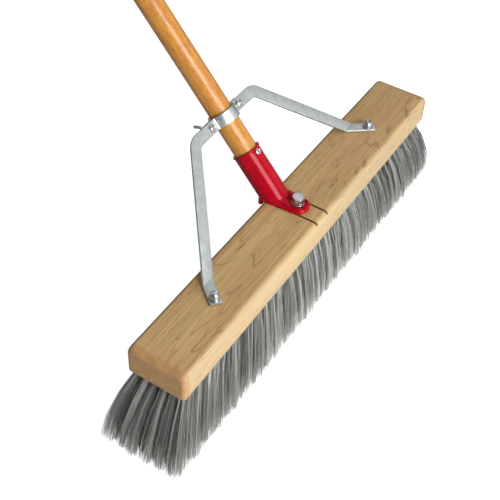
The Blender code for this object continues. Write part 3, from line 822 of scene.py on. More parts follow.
def inset(outline: Sequence[Vector], amount: float) -> Ring:
    """Shrink a flat outline.

    Args:
        outline: a convex outline, counter-clockwise.
        amount: how far each side moves inwards.

    Returns:
        The smaller outline, with as many points.
    """
    moved = []
    for i, here in enumerate(outline):
        before = (here - outline[i - 1]).normalized()
        after = (outline[(i + 1) % len(outline)] - here).normalized()
        along = (before + after).normalized()
        moved.append(here + Vector((-along.y, along.x)) * (amount / max(along.dot(after), 0.5)))
    return moved


def plate(name: str, outline: Sequence[Vector], low: float, high: float, edge: float) -> bpy.types.Object:
    """Make an upright plate with its top edge rounded.

    Args:
        name: the object's name.
        outline: its flat outline.
        low: the height of its underside.
        high: the height of its top.
        edge: the radius of the top edge.

    Returns:
        The plate.
    """
    rings = [[Vector((*p, low)) for p in outline]]
    for i in range(7):
        turn = math.pi / 2 * i / 6
        points = inset(outline, edge * (1 - math.cos(turn)))
        rings.append([Vector((*p, high - edge * (1 - math.sin(turn)))) for p in points])
    return skin(name, rings)


def box(name: str, low: Sequence[float], high: Sequence[float]) -> bpy.types.Object:
    """Make a plain box, for cutting or joining.

    Args:
        name: the object's name.
        low: its lowest corner.
        high: its highest corner.

    Returns:
        The box.
    """
    corners = ((0, 0), (1, 0), (1, 1), (0, 1))
    ends = (low, high)
    rings = [[Vector((ends[a][0], ends[b][1], z)) for a, b in corners] for z in (low[2], high[2])]
    return skin(name, rings)


def slotted(screw: bpy.types.Object, reach: float, low: float, high: float) -> bpy.types.Object:
    """Returns the screw with a slot cut along X, reach to each side, from height low to high."""
    tool = box("slot", (-reach, -SLOT_WIDTH / 2, low), (reach, SLOT_WIDTH / 2, high))
    return combine(screw, tool, Cut.REMOVE)


def combine(target: bpy.types.Object, tool: bpy.types.Object, cut: Cut) -> bpy.types.Object:
    """Change a solid with another, which is used up.

    Args:
        target: the solid that changes.
        tool: the other solid.
        cut: whether the tool is added or removed.

    Returns:
        The target.
    """
    change = target.modifiers.new("combine", "BOOLEAN")
    change.solver = "EXACT"
    change.operation = cut.value
    change.object = tool
    settle(target)
    bpy.data.objects.remove(tool, do_unlink=True)
    return target


def settle(piece: bpy.types.Object) -> bpy.types.Object:
    """Work a piece's modifiers into a plain mesh.

    Args:
        piece: the piece.

    Returns:
        The piece.
    """
    graph = bpy.context.evaluated_depsgraph_get()
    mesh = bpy.data.meshes.new_from_object(piece.evaluated_get(graph), depsgraph=graph)
    piece.modifiers.clear()
    piece.data = mesh
    return piece


def soften(piece: bpy.types.Object, voxel: float, rounds: int) -> bpy.types.Object:
    """Melt a solid's seams together, as a thick coating or a casting does.

    Args:
        piece: the solid.
        voxel: the size of its new faces.
        rounds: how many times it is smoothed.

    Returns:
        The piece.
    """
    remesh = piece.modifiers.new("remesh", "REMESH")
    remesh.mode = "VOXEL"
    remesh.voxel_size = voxel
    remesh.use_smooth_shade = True
    smooth = piece.modifiers.new("smooth", "SMOOTH")
    smooth.factor = 0.5
    smooth.iterations = rounds
    settle(piece)
    piece.data.shade_smooth()
    return piece


def upright(x: float, y: float, z: float = 0.0) -> Matrix:
    """Returns an unturned frame."""
    return Matrix.Translation((x, y, z))


def across_handle(x: float, place: float) -> Matrix:
    """Returns a frame on the handle's axis line with Z pointing behind the handle."""
    return AXIS_FRAME @ Matrix.Translation((x, 0, place)) @ Matrix.Rotation(-math.pi / 2, 4, "X")


def dress(piece: bpy.types.Object, finish: Finish, body: Body, *nodes: str) -> bpy.types.Object:
    """Finish a piece, put it on its body and hide the CAD nodes it replaces.

    Args:
        piece: the piece, in place.
        finish: its finish.
        body: the body it rides on.
        nodes: the CAD nodes it replaces.

    Returns:
        The piece.
    """
    piece.data.materials.clear()
    piece.data.materials.append(finish.material())
    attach(piece, body.value)
    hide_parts(*nodes)
    log.info("%s: %d faces, %s, on %s", piece.name, len(piece.data.polygons), finish.label, body.value)
    return piece


def dress_cad(node: str, finish: Finish) -> None:
    """Give a CAD node that keeps its shape a better material.

    Args:
        node: the node.
        finish: its finish.
    """
    for entry in frame["nodes"][node].material_slots:
        entry.material = finish.material()
    log.info("%s: kept from the CAD model, %s", node, finish.label)


# --- Geometry Nodes ------------------------------------------------------------------------------


def grow(name: str, tree: bpy.types.NodeTree, inputs: Mapping[str, Any]) -> bpy.types.Object:
    """Run a Geometry Nodes tree and keep its result as a plain mesh.

    Args:
        name: the new object's name.
        tree: the tree.
        inputs: its inputs by name.

    Returns:
        The object, with no modifier left.
    """
    made = show(name, bpy.data.meshes.new(name))
    modifier = made.modifiers.new("grow", "NODES")
    modifier.node_group = tree
    for item in tree.interface.items_tree:
        if item.in_out == "INPUT" and item.name in inputs:
            modifier[item.identifier] = inputs[item.name]
    return settle(made)


def swept(sheet: Sheet, curves: Term, radius: Term, sides: Any) -> Term:
    """Returns closed round rods that follow curves.

    Args:
        sheet: the tree's nodes.
        curves: the curves.
        radius: the rod's radius at each point.
        sides: how many sides a rod has.

    Returns:
        The rods.
    """
    outline = sheet.term("GeometryNodeCurvePrimitiveCircle", {"Resolution": sides, "Radius": 1.0})
    return sheet.term("GeometryNodeCurveToMesh", {"Curve": curves, "Profile Curve": outline,
                                                  "Scale": radius, "Fill Caps": True})


def stored(sheet: Sheet, points: Term, label: str, value: Term) -> Term:
    """Keep a number on each point.

    Args:
        sheet: the tree's nodes.
        points: the points.
        label: the number's name.
        value: the number.

    Returns:
        The points.
    """
    return sheet.term("GeometryNodeStoreNamedAttribute",
                      {"Geometry": points, "Name": label, "Value": value},
                      data_type="FLOAT", domain="POINT")


def recalled(sheet: Sheet, label: str) -> Term:
    """Returns the number kept under a label."""
    return sheet.term("GeometryNodeInputNamedAttribute", {"Name": label}, data_type="FLOAT")


def finished(sheet: Sheet, given: Mapping[str, Term], leave: bpy.types.Node,
             geometry: Term) -> bpy.types.NodeTree:
    """End a tree in Realize Instances and Set Material.

    Args:
        sheet: the tree's nodes.
        given: its inputs, with the material among them.
        leave: its output node.
        geometry: what it has made.

    Returns:
        The tree.
    """
    real = sheet.term("GeometryNodeRealizeInstances", {0: geometry})
    real = sheet.term("GeometryNodeSetMaterial", {"Geometry": real, "Material": given["Material"]})
    return sheet.close(leave, Geometry=real)


class Seeded:
    """Random numbers in a tree, each stream with its own fixed seed."""

    def __init__(self, sheet: Sheet, seed: Any) -> None:
        """Args: sheet: the tree's nodes. seed: the first stream's seed."""
        self.sheet = sheet
        self.seed = seed
        self.stream = 0

    def draw(self, low: float, high: float, index: Any) -> Term:
        """Draw a random number from the next stream.

        Args:
            low: the least it can be.
            high: the most it can be.
            index: what has its own number.

        Returns:
            The number.
        """
        self.stream += 1
        return self.sheet.term("FunctionNodeRandomValue",
                               {2: low, 3: high, 7: index, 8: self.seed + self.stream * 97.0}, 1,
                               data_type="FLOAT")

    def disc(self, index: Any) -> tuple[Term, Term]:
        """Draw a random point on a disc of radius 1.

        Args:
            index: what has its own point.

        Returns:
            The point's two coordinates.
        """
        turn = self.draw(0.0, 2 * math.pi, index)
        radius = self.sheet.math("SQRT", self.draw(0.0, 1.0, index))
        return radius * self.sheet.math("COSINE", turn), radius * self.sheet.math("SINE", turn)


def bristle_tree() -> bpy.types.NodeTree:
    """A row of tufts: fibres leave the block in round bunches, fan out and end unevenly.

    Returns:
        The tree. Each fibre keeps its tone and how far along it a point is.
    """
    floats = ("Root Start", "Root End", "Tip Start", "Tip End", "Root Y", "Tip Y", "Root Radius",
              "Tip Reach X", "Tip Reach Y", "Top", "Ragged", "Wander", "Fibre Radius")
    sheet, given, leave = new_group(
        "bristle row", "GeometryNodeTree",
        [("Tufts", INTEGER, 42), ("Fibres", INTEGER, 100), ("Lock", INTEGER, 12),
         ("Levels", INTEGER, 6), ("Seed", INTEGER, 1)]
        + [(name, FLOAT, 0.0) for name in floats] + [("Material", "NodeSocketMaterial", None)],
        [("Geometry", "NodeSocketGeometry")])
    index = sheet.term("GeometryNodeInputIndex")
    fibre = sheet.math("FLOOR", (index + 0.5) / given["Levels"])
    level = index - fibre * given["Levels"]
    tuft = sheet.math("FLOOR", (fibre + 0.5) / given["Fibres"])
    lock = sheet.math("FLOOR", (fibre + 0.5) / given["Lock"]) + tuft * 1000.0
    reach = level / (given["Levels"] - 1.0)
    back = 1.0 - reach
    spread = (1.0 - back * back) * 0.75 + reach * 0.25
    share = tuft / (given["Tufts"] - 1.0)

    chance = Seeded(sheet, given["Seed"] * 1000.0)
    fibre_x, fibre_y = chance.disc(fibre)
    lock_x, lock_y = chance.disc(lock)
    bow = sheet.math("SINE", reach * math.pi)
    wander = given["Wander"]
    tuft_x = chance.draw(-1.0, 1.0, tuft) * wander
    tuft_y = chance.draw(-1.0, 1.0, tuft) * wander * 0.7
    bow_x = (chance.draw(-1.0, 1.0, lock) * 0.8 + chance.draw(-1.0, 1.0, fibre) * 0.2) * wander
    bow_y = (chance.draw(-1.0, 1.0, lock) * 0.8 + chance.draw(-1.0, 1.0, fibre) * 0.2) * wander

    root_x = (given["Root Start"] + (given["Root End"] - given["Root Start"]) * share
              + (lock_x * 0.85 + fibre_x * 0.15) * given["Root Radius"])
    root_y = given["Root Y"] + (lock_y * 0.85 + fibre_y * 0.15) * given["Root Radius"]
    tip_x = (given["Tip Start"] + (given["Tip End"] - given["Tip Start"]) * share + tuft_x
             + (lock_x * 0.86 + fibre_x * 0.24) * given["Tip Reach X"])
    tip_y = given["Tip Y"] + tuft_y + (lock_y * 0.86 + fibre_y * 0.24) * given["Tip Reach Y"]
    rise = (chance.draw(0.0, 1.0, lock) ** 2.0 * 0.6 + chance.draw(0.0, 1.0, fibre) ** 2.0 * 0.4
            + chance.draw(0.0, 1.0, tuft) * 0.2) * given["Ragged"]
    x = root_x + (tip_x - root_x) * spread + bow_x * bow
    y = root_y + (tip_y - root_y) * spread + bow_y * bow
    z = given["Top"] * back + rise * reach
    tone = chance.draw(0.0, 1.0, lock) * 0.52 + chance.draw(0.0, 1.0, fibre) * 0.48

    count = given["Tufts"] * given["Fibres"] * given["Levels"]
    points = sheet.term("GeometryNodePoints", {"Count": count, "Position": sheet.joined(x, y, z)})
    for label, value in (("fibre_tone", tone), ("fibre_reach", reach)):
        points = stored(sheet, points, label, value)
    curves = sheet.term("GeometryNodePointsToCurves",
                        {"Points": points, "Curve Group ID": fibre, "Weight": level})
    taper = given["Fibre Radius"] * (1.0 - recalled(sheet, "fibre_reach") * 0.35)
    return finished(sheet, given, leave, swept(sheet, curves, taper, 3))


def rod_tree() -> bpy.types.NodeTree:
    """A straight round rod with one end domed.

    Returns:
        The tree.
    """
    sheet, given, leave = new_group(
        "domed rod", "GeometryNodeTree",
        [("Start", VECTOR, None), ("Direction", VECTOR, None), ("Length", FLOAT, 1.0),
         ("Radius", FLOAT, 0.01), ("Dome", FLOAT, 0.005), ("Rings", INTEGER, 72),
         ("Sides", INTEGER, 96), ("Material", "NodeSocketMaterial", None)],
        [("Geometry", "NodeSocketGeometry")])
    index = sheet.term("GeometryNodeInputIndex")
    share = index / (given["Rings"] - 1.0)
    travel = given["Length"] * (1.0 - (1.0 - share) ** 3.0)
    step = sheet.scaled(given["Direction"], travel)
    points = sheet.term("GeometryNodePoints",
                        {"Count": given["Rings"],
                         "Position": sheet.vector("ADD", given["Start"], step)})
    left = given["Length"] - travel
    into = sheet.math("MAXIMUM", 1.0 - left / given["Dome"], 0.0)
    width = sheet.math("SQRT", sheet.math("MAXIMUM", 1.0 - into * into, 0.0001))
    points = stored(sheet, points, "rod_width", width * given["Radius"])
    curve = sheet.term("GeometryNodePointsToCurves", {"Points": points})
    rod = swept(sheet, curve, recalled(sheet, "rod_width"), given["Sides"])
    return finished(sheet, given, leave, rod)


def fastener_tree() -> bpy.types.NodeTree:
    """Copies of one fastener in a line, each tilted alike and turned its own way about its axis.

    Returns:
        The tree.
    """
    sheet, given, leave = new_group(
        "fasteners in line", "GeometryNodeTree",
        [("Fastener", "NodeSocketObject", None), ("Count", INTEGER, 2), ("First", VECTOR, None),
         ("Step", VECTOR, None), ("Tilt", FLOAT, 0.0), ("Turn", FLOAT, 0.0), ("Seed", INTEGER, 1),
         ("Material", "NodeSocketMaterial", None)],
        [("Geometry", "NodeSocketGeometry")])
    line = sheet.term("GeometryNodeMeshLine", {"Count": given["Count"], "Start Location": given["First"],
                                               "Offset": given["Step"]})
    index = sheet.term("GeometryNodeInputIndex")
    own = Seeded(sheet, given["Seed"]).draw(-0.2, 0.2, index)
    spin = (index * 2.0 - 1.0) * given["Turn"] + own * given["Turn"]
    tilt = sheet.term("FunctionNodeEulerToRotation", {0: sheet.joined(given["Tilt"], 0.0, 0.0)})
    turn = sheet.term("FunctionNodeEulerToRotation", {0: sheet.joined(0.0, 0.0, spin)})
    both = sheet.term("FunctionNodeRotateRotation", {0: tilt, 1: turn}, rotation_space="LOCAL")
    part = sheet.term("GeometryNodeObjectInfo", {"Object": given["Fastener"], "As Instance": True},
                      "Geometry")
    copies = sheet.term("GeometryNodeInstanceOnPoints", {"Points": line, "Instance": part,
                                                         "Rotation": both})
    return finished(sheet, given, leave, copies)


def pair(name: str, pattern: bpy.types.Object, tree: bpy.types.NodeTree, first: Vector,
         tilt: float, turn: float) -> bpy.types.Object:
    """Place a plated fastener on both sides of the broom.

    Args:
        name: the new piece's name.
        pattern: the fastener at the origin, which is used up.
        tree: the fastener tree.
        first: the place of the left one.
        tilt: how far both lean about X, in radians.
        turn: about how far each is turned about its own axis.

    Returns:
        Both fasteners as one piece.
    """
    made = grow(name, tree, {"Fastener": pattern, "Count": 2, "First": first,
                             "Step": Vector((-2 * first.x, 0, 0)), "Tilt": tilt, "Turn": turn,
                             "Seed": 5, "Material": ZINC_FINISH.material()})
    bpy.data.objects.remove(pattern, do_unlink=True)
    return smoothed(made)


# --- Block and bristles --------------------------------------------------------------------------


@dataclass
class Block:
    """The wooden block, skinned along X so that its round-over and two saw kerfs come out clean."""

    corner: float = 3.4 * MM
    end_in: float = 8.0 * MM
    side_in: float = 4.8 * MM
    drop: float = 6.0 * MM
    bottom_ease: float = 0.7 * MM
    kerf_width: float = 1.9 * MM
    kerf_depth: float = 2.2 * MM
    kerf_lip: float = 0.35 * MM
    kerf_slope: float = 0.02 * MM
    middle: float = 3.0 * MM
    plain_start: float = 14.0 * MM

    def section(self, x: float, cut: float) -> Ring:
        """Outline the block across Y and Z.

        Args:
            x: where along the block.
            cut: how far its top is cut down there.

        Returns:
            The outline's points.
        """
        half, end, ease = BLOCK_HIGH.y, BLOCK_HIGH.x, self.bottom_ease
        over = max(0.0, abs(x) - (end - self.corner)) / self.corner
        width = half - self.corner * (1 - math.sqrt(max(0.0, 1 - over * over)))
        rise = max(0.0, abs(x) - (end - self.end_in)) / self.end_in
        top = BLOCK_TOP - self.drop * (1 - math.sqrt(max(0.0, 1 - rise * rise)))
        drop = min(self.drop, (top - TRIM) * 0.5)
        quarter = [(self.side_in * (1 - math.cos(a)), drop * (1 - math.sin(a)))
                   for a in (math.pi / 2 * i / 12 for i in range(13))]
        right = [(width - ease, TRIM), (width - ease * 0.3, TRIM + ease * 0.3), (width, TRIM + ease)]
        right += [(width, TRIM + (top - drop - TRIM) * share) for share in (0.35, 0.7)]
        right += [(width - inward, top - down) for inward, down in quarter]
        across = [(width - self.side_in) * (1 - 2 * i / 12) for i in range(1, 12)]
        outline = right + [(y, top) for y in across] + [(-y, z) for y, z in reversed(right)]
        level = BLOCK_TOP - cut
        return [Vector((x, y, min(z, level))) for y, z in outline]

    def stations(self) -> Profile:
        """List where the block's outlines stand, from the left end to the right.

        Returns:
            Each one's x and the depth cut from the top there.
        """
        plain_end, lip = BLOCK_HIGH.x - self.end_in, self.kerf_lip
        low, high = KERF_X - self.kerf_width / 2, KERF_X + self.kerf_width / 2
        edge = [(lip, 0.0), (lip * 0.4, lip * 0.2), (lip * 0.08, lip * 0.6), (0.0, lip * 1.2),
                (-self.kerf_slope, self.kerf_depth)]
        right = [(self.middle, 0.0)] + [(low - out, cut) for out, cut in edge]
        right += [(high + out, cut) for out, cut in reversed(edge)]
        start = self.plain_start
        right += [(start + (plain_end - start) * i / 24, 0.0) for i in range(25)]
        right += [(plain_end + self.end_in * math.sin(math.pi / 2 * i / 18), 0.0) for i in range(1, 19)]
        return [(-x, cut) for x, cut in reversed(right)] + right

    def build(self) -> None:
        """Make the block and dress it."""
        rings = [self.section(x, cut) for x, cut in self.stations()]
        dress(skin("wooden_block", rings, sharp=40.0), BLOCK_FINISH, Body.BROOM, "block")


@dataclass
class BristleField:
    """Six rows of stapled tufts, flaring to about the CAD rows' outline at the tips."""

    rows: int = 6
    tufts: int = 42
    fibres: int = 225
    lock: int = 4
    levels: int = 4
    root_half: float = 26.5 * MM
    root_radius: float = 2.9 * MM
    front_flare: float = 14.0 * MM
    back_flare: float = 15.5 * MM
    end_margin: float = 8.0 * MM
    overlap: float = 0.64
    near_reach: float = 4.5 * MM
    reach_x: float = 9.4 * MM
    stagger: float = 2.65 * MM
    sunk: float = 1.2 * MM
    ragged: float = 2.6 * MM
    wander: float = 0.7 * MM
    fibre_radius: float = 0.19 * MM
    first_seed: int = 11

    def build(self) -> None:
        """Grow and dress each row."""
        tree = bristle_tree()
        width = 2 * BLOCK_HIGH.y
        root_pitch = 2 * self.root_half / self.rows
        tip_pitch = (width + self.front_flare + self.back_flare) / (self.rows - 1 + 2 * self.overlap)
        shift = (self.back_flare - self.front_flare) / 2
        inner = BLOCK_HIGH.x - self.end_margin - self.root_radius
        for row in range(self.rows):
            node = f"bristle_row_{row + 1}"
            low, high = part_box(node)
            place = row - (self.rows - 1) / 2
            stagger = self.stagger if row % 2 else -self.stagger
            made = grow(f"bristles_{row + 1}", tree, {
                "Tufts": self.tufts, "Fibres": self.fibres, "Lock": self.lock, "Levels": self.levels,
                "Seed": row + self.first_seed,
                "Root Start": -inner + max(stagger, 0.0), "Root End": inner + min(stagger, 0.0),
                "Tip Start": low.x + self.reach_x - self.near_reach,
                "Tip End": high.x - self.reach_x,
                "Root Y": place * root_pitch, "Tip Y": place * tip_pitch + shift,
                "Root Radius": self.root_radius, "Tip Reach X": self.reach_x,
                "Tip Reach Y": tip_pitch * self.overlap, "Top": TRIM + self.sunk,
                "Ragged": self.ragged, "Wander": self.wander, "Fibre Radius": self.fibre_radius,
                "Material": FIBRE_FINISH.material()})
            made.data.shade_smooth()
            dress(made, FIBRE_FINISH, Body.BROOM, node)


# --- Bracket and its bolt ------------------------------------------------------------------------


@dataclass
class SocketBracket:
    """The pressed steel socket, elbow, tongue and base plate under one thick coat of enamel."""

    mouth: float = 90.0 * MM
    radius: float = 13.6 * MM
    bore: float = 12.2 * MM
    bore_start: float = 51.7 * MM
    lip: float = 0.8 * MM
    lip_length: float = 1.7 * MM
    rise: float = 5.3 * MM
    tongue: float = 11.5 * MM
    tongue_edge: float = 2.4 * MM
    fillet: float = 8.0 * MM
    plate_thickness: float = 3.0 * MM
    plate_half: float = 14.2 * MM
    plate_back: float = 35.0 * MM
    plate_corner: float = 5.0 * MM
    hook_reach: float = 5.0 * MM
    hook_corner: float = 2.0 * MM
    flange: tuple[float, float] = (0.65 * MM, 1.9 * MM)
    recess: float = 8.8 * MM
    rivet_hole: float = 2.0 * MM
    cut_height: float = 40.0 * MM
    cut_depth: float = 30.0 * MM
    voxel: float = 0.45 * MM
    sides: int = 80

    def section(self, centre: Vector, out: Vector, half_width: float, half_height: float,
                power: float) -> Ring:
        """Make a ring that can be an ellipse, a box or between the two.

        Args:
            centre: its middle.
            out: the direction square to X that it lies in.
            half_width: half its size along X.
            half_height: half its size along out.
            power: 2 for an ellipse, more to be nearer to a box.

        Returns:
            The ring.
        """
        ring = []
        for i in range(self.sides):
            turn = 2 * math.pi * i / self.sides
            c, s = math.cos(turn), math.sin(turn)
            x = half_width * math.copysign(abs(c) ** (2 / power), c)
            h = half_height * math.copysign(abs(s) ** (2 / power), s)
            ring.append(centre + Vector((x, 0, 0)) + out * h)
        return ring

    def tube_rings(self) -> list[Ring]:
        """Follow the pressed steel from the mouth round the elbow to the tongue's round end.

        Returns:
            The rings.
        """
        pivot_z = BLOCK_TOP + self.rise + self.fillet
        reach = self.fillet + self.radius
        axis_z = AXIS_FRAME.translation.z
        place = (pivot_z - axis_z - reach * math.cos(HANDLE_ANGLE)) / math.sin(HANDLE_ANGLE)
        pivot = AXIS_FRAME @ Vector((0, -reach, place))
        rings = []
        lip_start = self.mouth - self.lip_length
        for spot, grown in ((self.mouth, self.lip), (lip_start, self.lip), (lip_start - 0.4 * MM, 0.0)):
            rings.append(self.section(AXIS_FRAME @ Vector((0, 0, spot)), BEHIND, self.radius + grown,
                                      self.radius + grown, 2.0))
        for i in range(21):
            share = i / 20
            lean = HANDLE_ANGLE * (1 - share)
            out = Vector((0, math.sin(lean), -math.cos(lean)))
            width = self.radius + (self.tongue - self.radius) * share
            rings.append(self.section(pivot + out * reach, out, width, self.radius, 2.0 + 5.0 * share ** 2))
        for i in range(1, 17):
            turn = math.radians(86) * i / 16
            edge = self.tongue * (1 - math.sin(turn))
            sink = 0.0
            if edge < self.tongue_edge:
                sink = self.tongue_edge - math.sqrt(self.tongue_edge ** 2 - (self.tongue_edge - edge) ** 2)
            centre = Vector((0, FIXING_Y - self.tongue * math.sin(turn), pivot_z - reach - sink / 2))
            rings.append(self.section(centre, Vector((0, 0, -1)), self.tongue * math.cos(turn),
                                      self.radius - sink / 2, 7.0))
        return rings

    def base_outline(self) -> Ring:
        """Outline the base plate, round in front and wider behind.

        Returns:
            The outline.
        """
        half_back, back = self.plate_half - self.plate_corner, self.plate_back - self.plate_corner
        quarter = math.pi / 2
        return (arc((half_back, back), self.plate_corner, 0.0, quarter, 8)
                + arc((-half_back, back), self.plate_corner, quarter, quarter, 8)
                + arc((0, FIXING_Y), self.tongue + 0.5 * MM, math.pi, math.pi, 32))

    def hook_outline(self) -> Ring:
        """Outline the hook that turns down behind the block.

        Returns:
            The outline.
        """
        front = BLOCK_HIGH.y + GAP
        half_x, half_y = self.plate_half - 0.4 * MM, (self.plate_back - front) / 2
        middle, corner = (self.plate_back + front) / 2, self.hook_corner
        outline: Ring = []
        for i, (sx, sy) in enumerate(((1, 1), (-1, 1), (-1, -1), (1, -1))):
            outline += arc((sx * (half_x - corner), middle + sy * (half_y - corner)), corner,
                           i * math.pi / 2, math.pi / 2, 5)
        return outline

    def cutters(self) -> list[bpy.types.Object]:
        """Make the solids that are cut away: bore, recess, bolt hole and rivet hole.

        Returns:
            The solids.
        """
        bolt, rivet = upright(0, FIXING_Y), across_handle(0, RIVET_PLACE)
        top = BLOCK_TOP + self.cut_height
        return [turned(name, [(radius, low), (radius, high)], place, count)
                for name, radius, low, high, place, count in (
                    ("bore", self.bore, self.bore_start, 2 * self.mouth, AXIS_FRAME, 80),
                    ("recess", self.recess, BLOCK_TOP + BOLT_SEAT, top, bolt, 64),
                    ("bolt hole", BOLT_HOLE, TRIM, top, bolt, 32),
                    ("rivet hole", self.rivet_hole, -self.cut_depth, self.cut_depth, rivet, 24))]

    def build(self) -> None:
        """Join the parts, melt their seams together and dress the result."""
        floor = BLOCK_TOP + GAP
        bracket = skin("enamelled_bracket", self.tube_rings())
        combine(bracket, plate("base", self.base_outline(), floor - self.rise,
                               floor + self.plate_thickness, 1.2 * MM), Cut.ADD)
        reach = 3 * self.plate_back
        combine(bracket, box("under", (-reach, -reach, floor - reach), (reach, reach, floor)), Cut.REMOVE)
        combine(bracket, plate("hook", self.hook_outline(), BLOCK_TOP - self.hook_reach,
                               floor + self.plate_thickness / 2, 0.6 * MM), Cut.ADD)
        half, depth = self.flange
        for side in SIDES:
            low = (side * KERF_X - half, FIXING_Y - 5 * MM, BLOCK_TOP - depth)
            high = (side * KERF_X + half, BLOCK_HIGH.y - 3 * MM, floor + self.plate_thickness / 2)
            combine(bracket, box("flange", low, high), Cut.ADD)
        for tool in self.cutters():
            combine(bracket, tool, Cut.REMOVE)
        soften(bracket, self.voxel, 5)
        dress(bracket, ENAMEL_FINISH, Body.BROOM, "bracket")


@dataclass
class BoltSet:
    """The quarter inch hexagon bolt with its flat washer and split lock washer."""

    bolt_radius: float = 3.1 * MM
    apothem: float = 5.55 * MM
    head: float = 5.2 * MM
    flat: tuple[float, float] = (6.2 * MM, 1.6 * MM)
    lock: tuple[float, float] = (5.9 * MM, 1.8 * MM)

    def hexagon(self, height: float, limit: float, grow_by: float = 0.0) -> Ring:
        """Make a hexagon whose corners are trimmed to a circle.

        Args:
            height: where it lies.
            limit: the circle's radius.
            grow_by: how much further out its flats are than the head's.

        Returns:
            The hexagon.
        """
        ring = []
        for point in circle(1.0, height, 72):
            turn = math.atan2(point.y, point.x) % (math.pi / 3) - math.pi / 6
            radius = min((self.apothem + grow_by) / math.cos(turn), limit)
            ring.append(Vector((radius * point.x, radius * point.y, height)))
        return ring

    def split_washer(self, low: float, place: Matrix) -> bpy.types.Object:
        """Make the lock washer with its slanted split, one end a little proud.

        Args:
            low: the height of its underside.
            place: the bolt's frame.

        Returns:
            The washer.
        """
        outer, thick = self.lock
        profile = washer_profile(BOLT_HOLE, outer, 0.0, thick, 0.3 * MM)
        rings = []
        count, slit = 72, math.radians(9)
        for i in range(count + 1):
            share = i / count
            turn = math.radians(250) + slit / 2 + (2 * math.pi - slit) * share
            lift = 0.22 * MM * share - 0.05 * MM
            ring = []
            for r, z in profile:
                lean = turn + math.radians(7) * (z / thick - 0.5)
                ring.append(Vector((r * math.cos(lean), r * math.sin(lean), low + z * 0.94 + lift)))
            rings.append(ring)
        return skin("split_lock_washer", rings, place)

    def build(self) -> None:
        """Make and dress the bolt and both washers; the tee nut keeps its CAD shape."""
        place = upright(0, FIXING_Y)
        low = BLOCK_TOP + BOLT_SEAT + GAP
        outer, thick = self.flat
        profile = washer_profile(BOLT_HOLE, outer, low, thick, 0.35 * MM)
        dress(turned("flat_washer", profile, place, 64, closed=True), ZINC_FINISH, Body.BROOM,
              "bolt_flat_washer")
        low += thick + GAP
        dress(self.split_washer(low, place), ZINC_FINISH, Body.BROOM, "bolt_lock_washer")
        rings = self.bolt_rings(low + self.lock[1] + GAP)
        dress(skin("hexagon_bolt", rings, place, sharp=25.0), ZINC_FINISH, Body.BROOM, "bracket_bolt")
        dress_cad("tee_nut", ZINC_FINISH)

    def bolt_rings(self, seat: float) -> list[Ring]:
        """Outline the bolt: a chamfered head, its bearing face and the shank.

        Args:
            seat: the height of the bearing face.

        Returns:
            The rings, from the top down.
        """
        flat, corner = self.apothem, self.apothem / math.cos(math.pi / 6)
        top, end = seat + self.head, TRIM + 2 * MM
        crown = [self.hexagon(top - down, limit, grown)
                 for down, limit, grown in ((0.0, flat - 0.35 * MM, -0.1 * MM),
                                            (0.12 * MM, flat - 0.05 * MM, -0.02 * MM),
                                            (0.62 * MM, corner - 0.12 * MM, 0.0),
                                            (0.8 * MM, corner - 0.05 * MM, 0.0))]
        skirt = [self.hexagon(seat + 0.55 * MM, corner - 0.05 * MM),
                 self.hexagon(seat + 0.35 * MM, corner - 0.2 * MM)]
        shank = [circle(radius, height, 72)
                 for radius, height in ((flat - 0.1 * MM, seat + 0.3 * MM), (flat - 0.1 * MM, seat),
                                        (self.bolt_radius, seat), (self.bolt_radius, end + 0.8 * MM),
                                        (self.bolt_radius - 0.8 * MM, end))]
        return [circle(flat * 0.5, top, 72)] + crown + skirt + shank


# --- Handle --------------------------------------------------------------------------------------


@dataclass
class Handle:
    """The long lacquered handle and the tubular rivet that holds it in the socket."""

    start: float = 52.0 * MM
    length: float = 1524.0 * MM
    radius: float = 11.9 * MM
    dome: float = 6.0 * MM
    rings: int = 72
    sides: int = 96
    rivet_seat: float = 13.75 * MM

    def build(self) -> None:
        """Grow the handle, turn the rivet and dress them."""
        direction = (AXIS_FRAME.to_3x3() @ Vector((0, 0, 1))).normalized()
        made = grow("long_handle", rod_tree(), {
            "Start": AXIS_FRAME @ Vector((0, 0, self.start)), "Direction": direction,
            "Length": self.length, "Radius": self.radius, "Dome": self.dome,
            "Rings": self.rings, "Sides": self.sides, "Material": HANDLE_FINISH.material()})
        smoothed(made, 50.0)
        dress(made, HANDLE_FINISH, Body.BROOM, "handle")
        self.build_rivet()

    def build_rivet(self) -> None:
        """Turn the rivet with its rolled eyelet in front and its domed end behind."""
        seat = self.rivet_seat
        profile = [(0.95 * MM, -seat + 2 * MM), (0.95 * MM, -seat - 0.55 * MM)]
        profile += [(2.05 * MM - 1.1 * MM * math.cos(a), -seat - 0.35 * MM - 0.95 * MM * math.sin(a))
                    for a in (math.pi * i / 10 for i in range(11))]
        profile += [(3.1 * MM, -seat + 0.15 * MM), (1.75 * MM, -seat + 0.2 * MM), (1.75 * MM, seat)]
        profile += [(3.0 * MM * math.cos(a), seat + 1.1 * MM * math.sin(a))
                    for a in (math.radians(80) * i / 8 for i in range(9))]
        dress(turned("handle_eyelet_rivet", profile, across_handle(0, RIVET_PLACE), 40), ZINC_FINISH,
              Body.BROOM, "handle_rivet")


# --- Brace and clamp -----------------------------------------------------------------------------


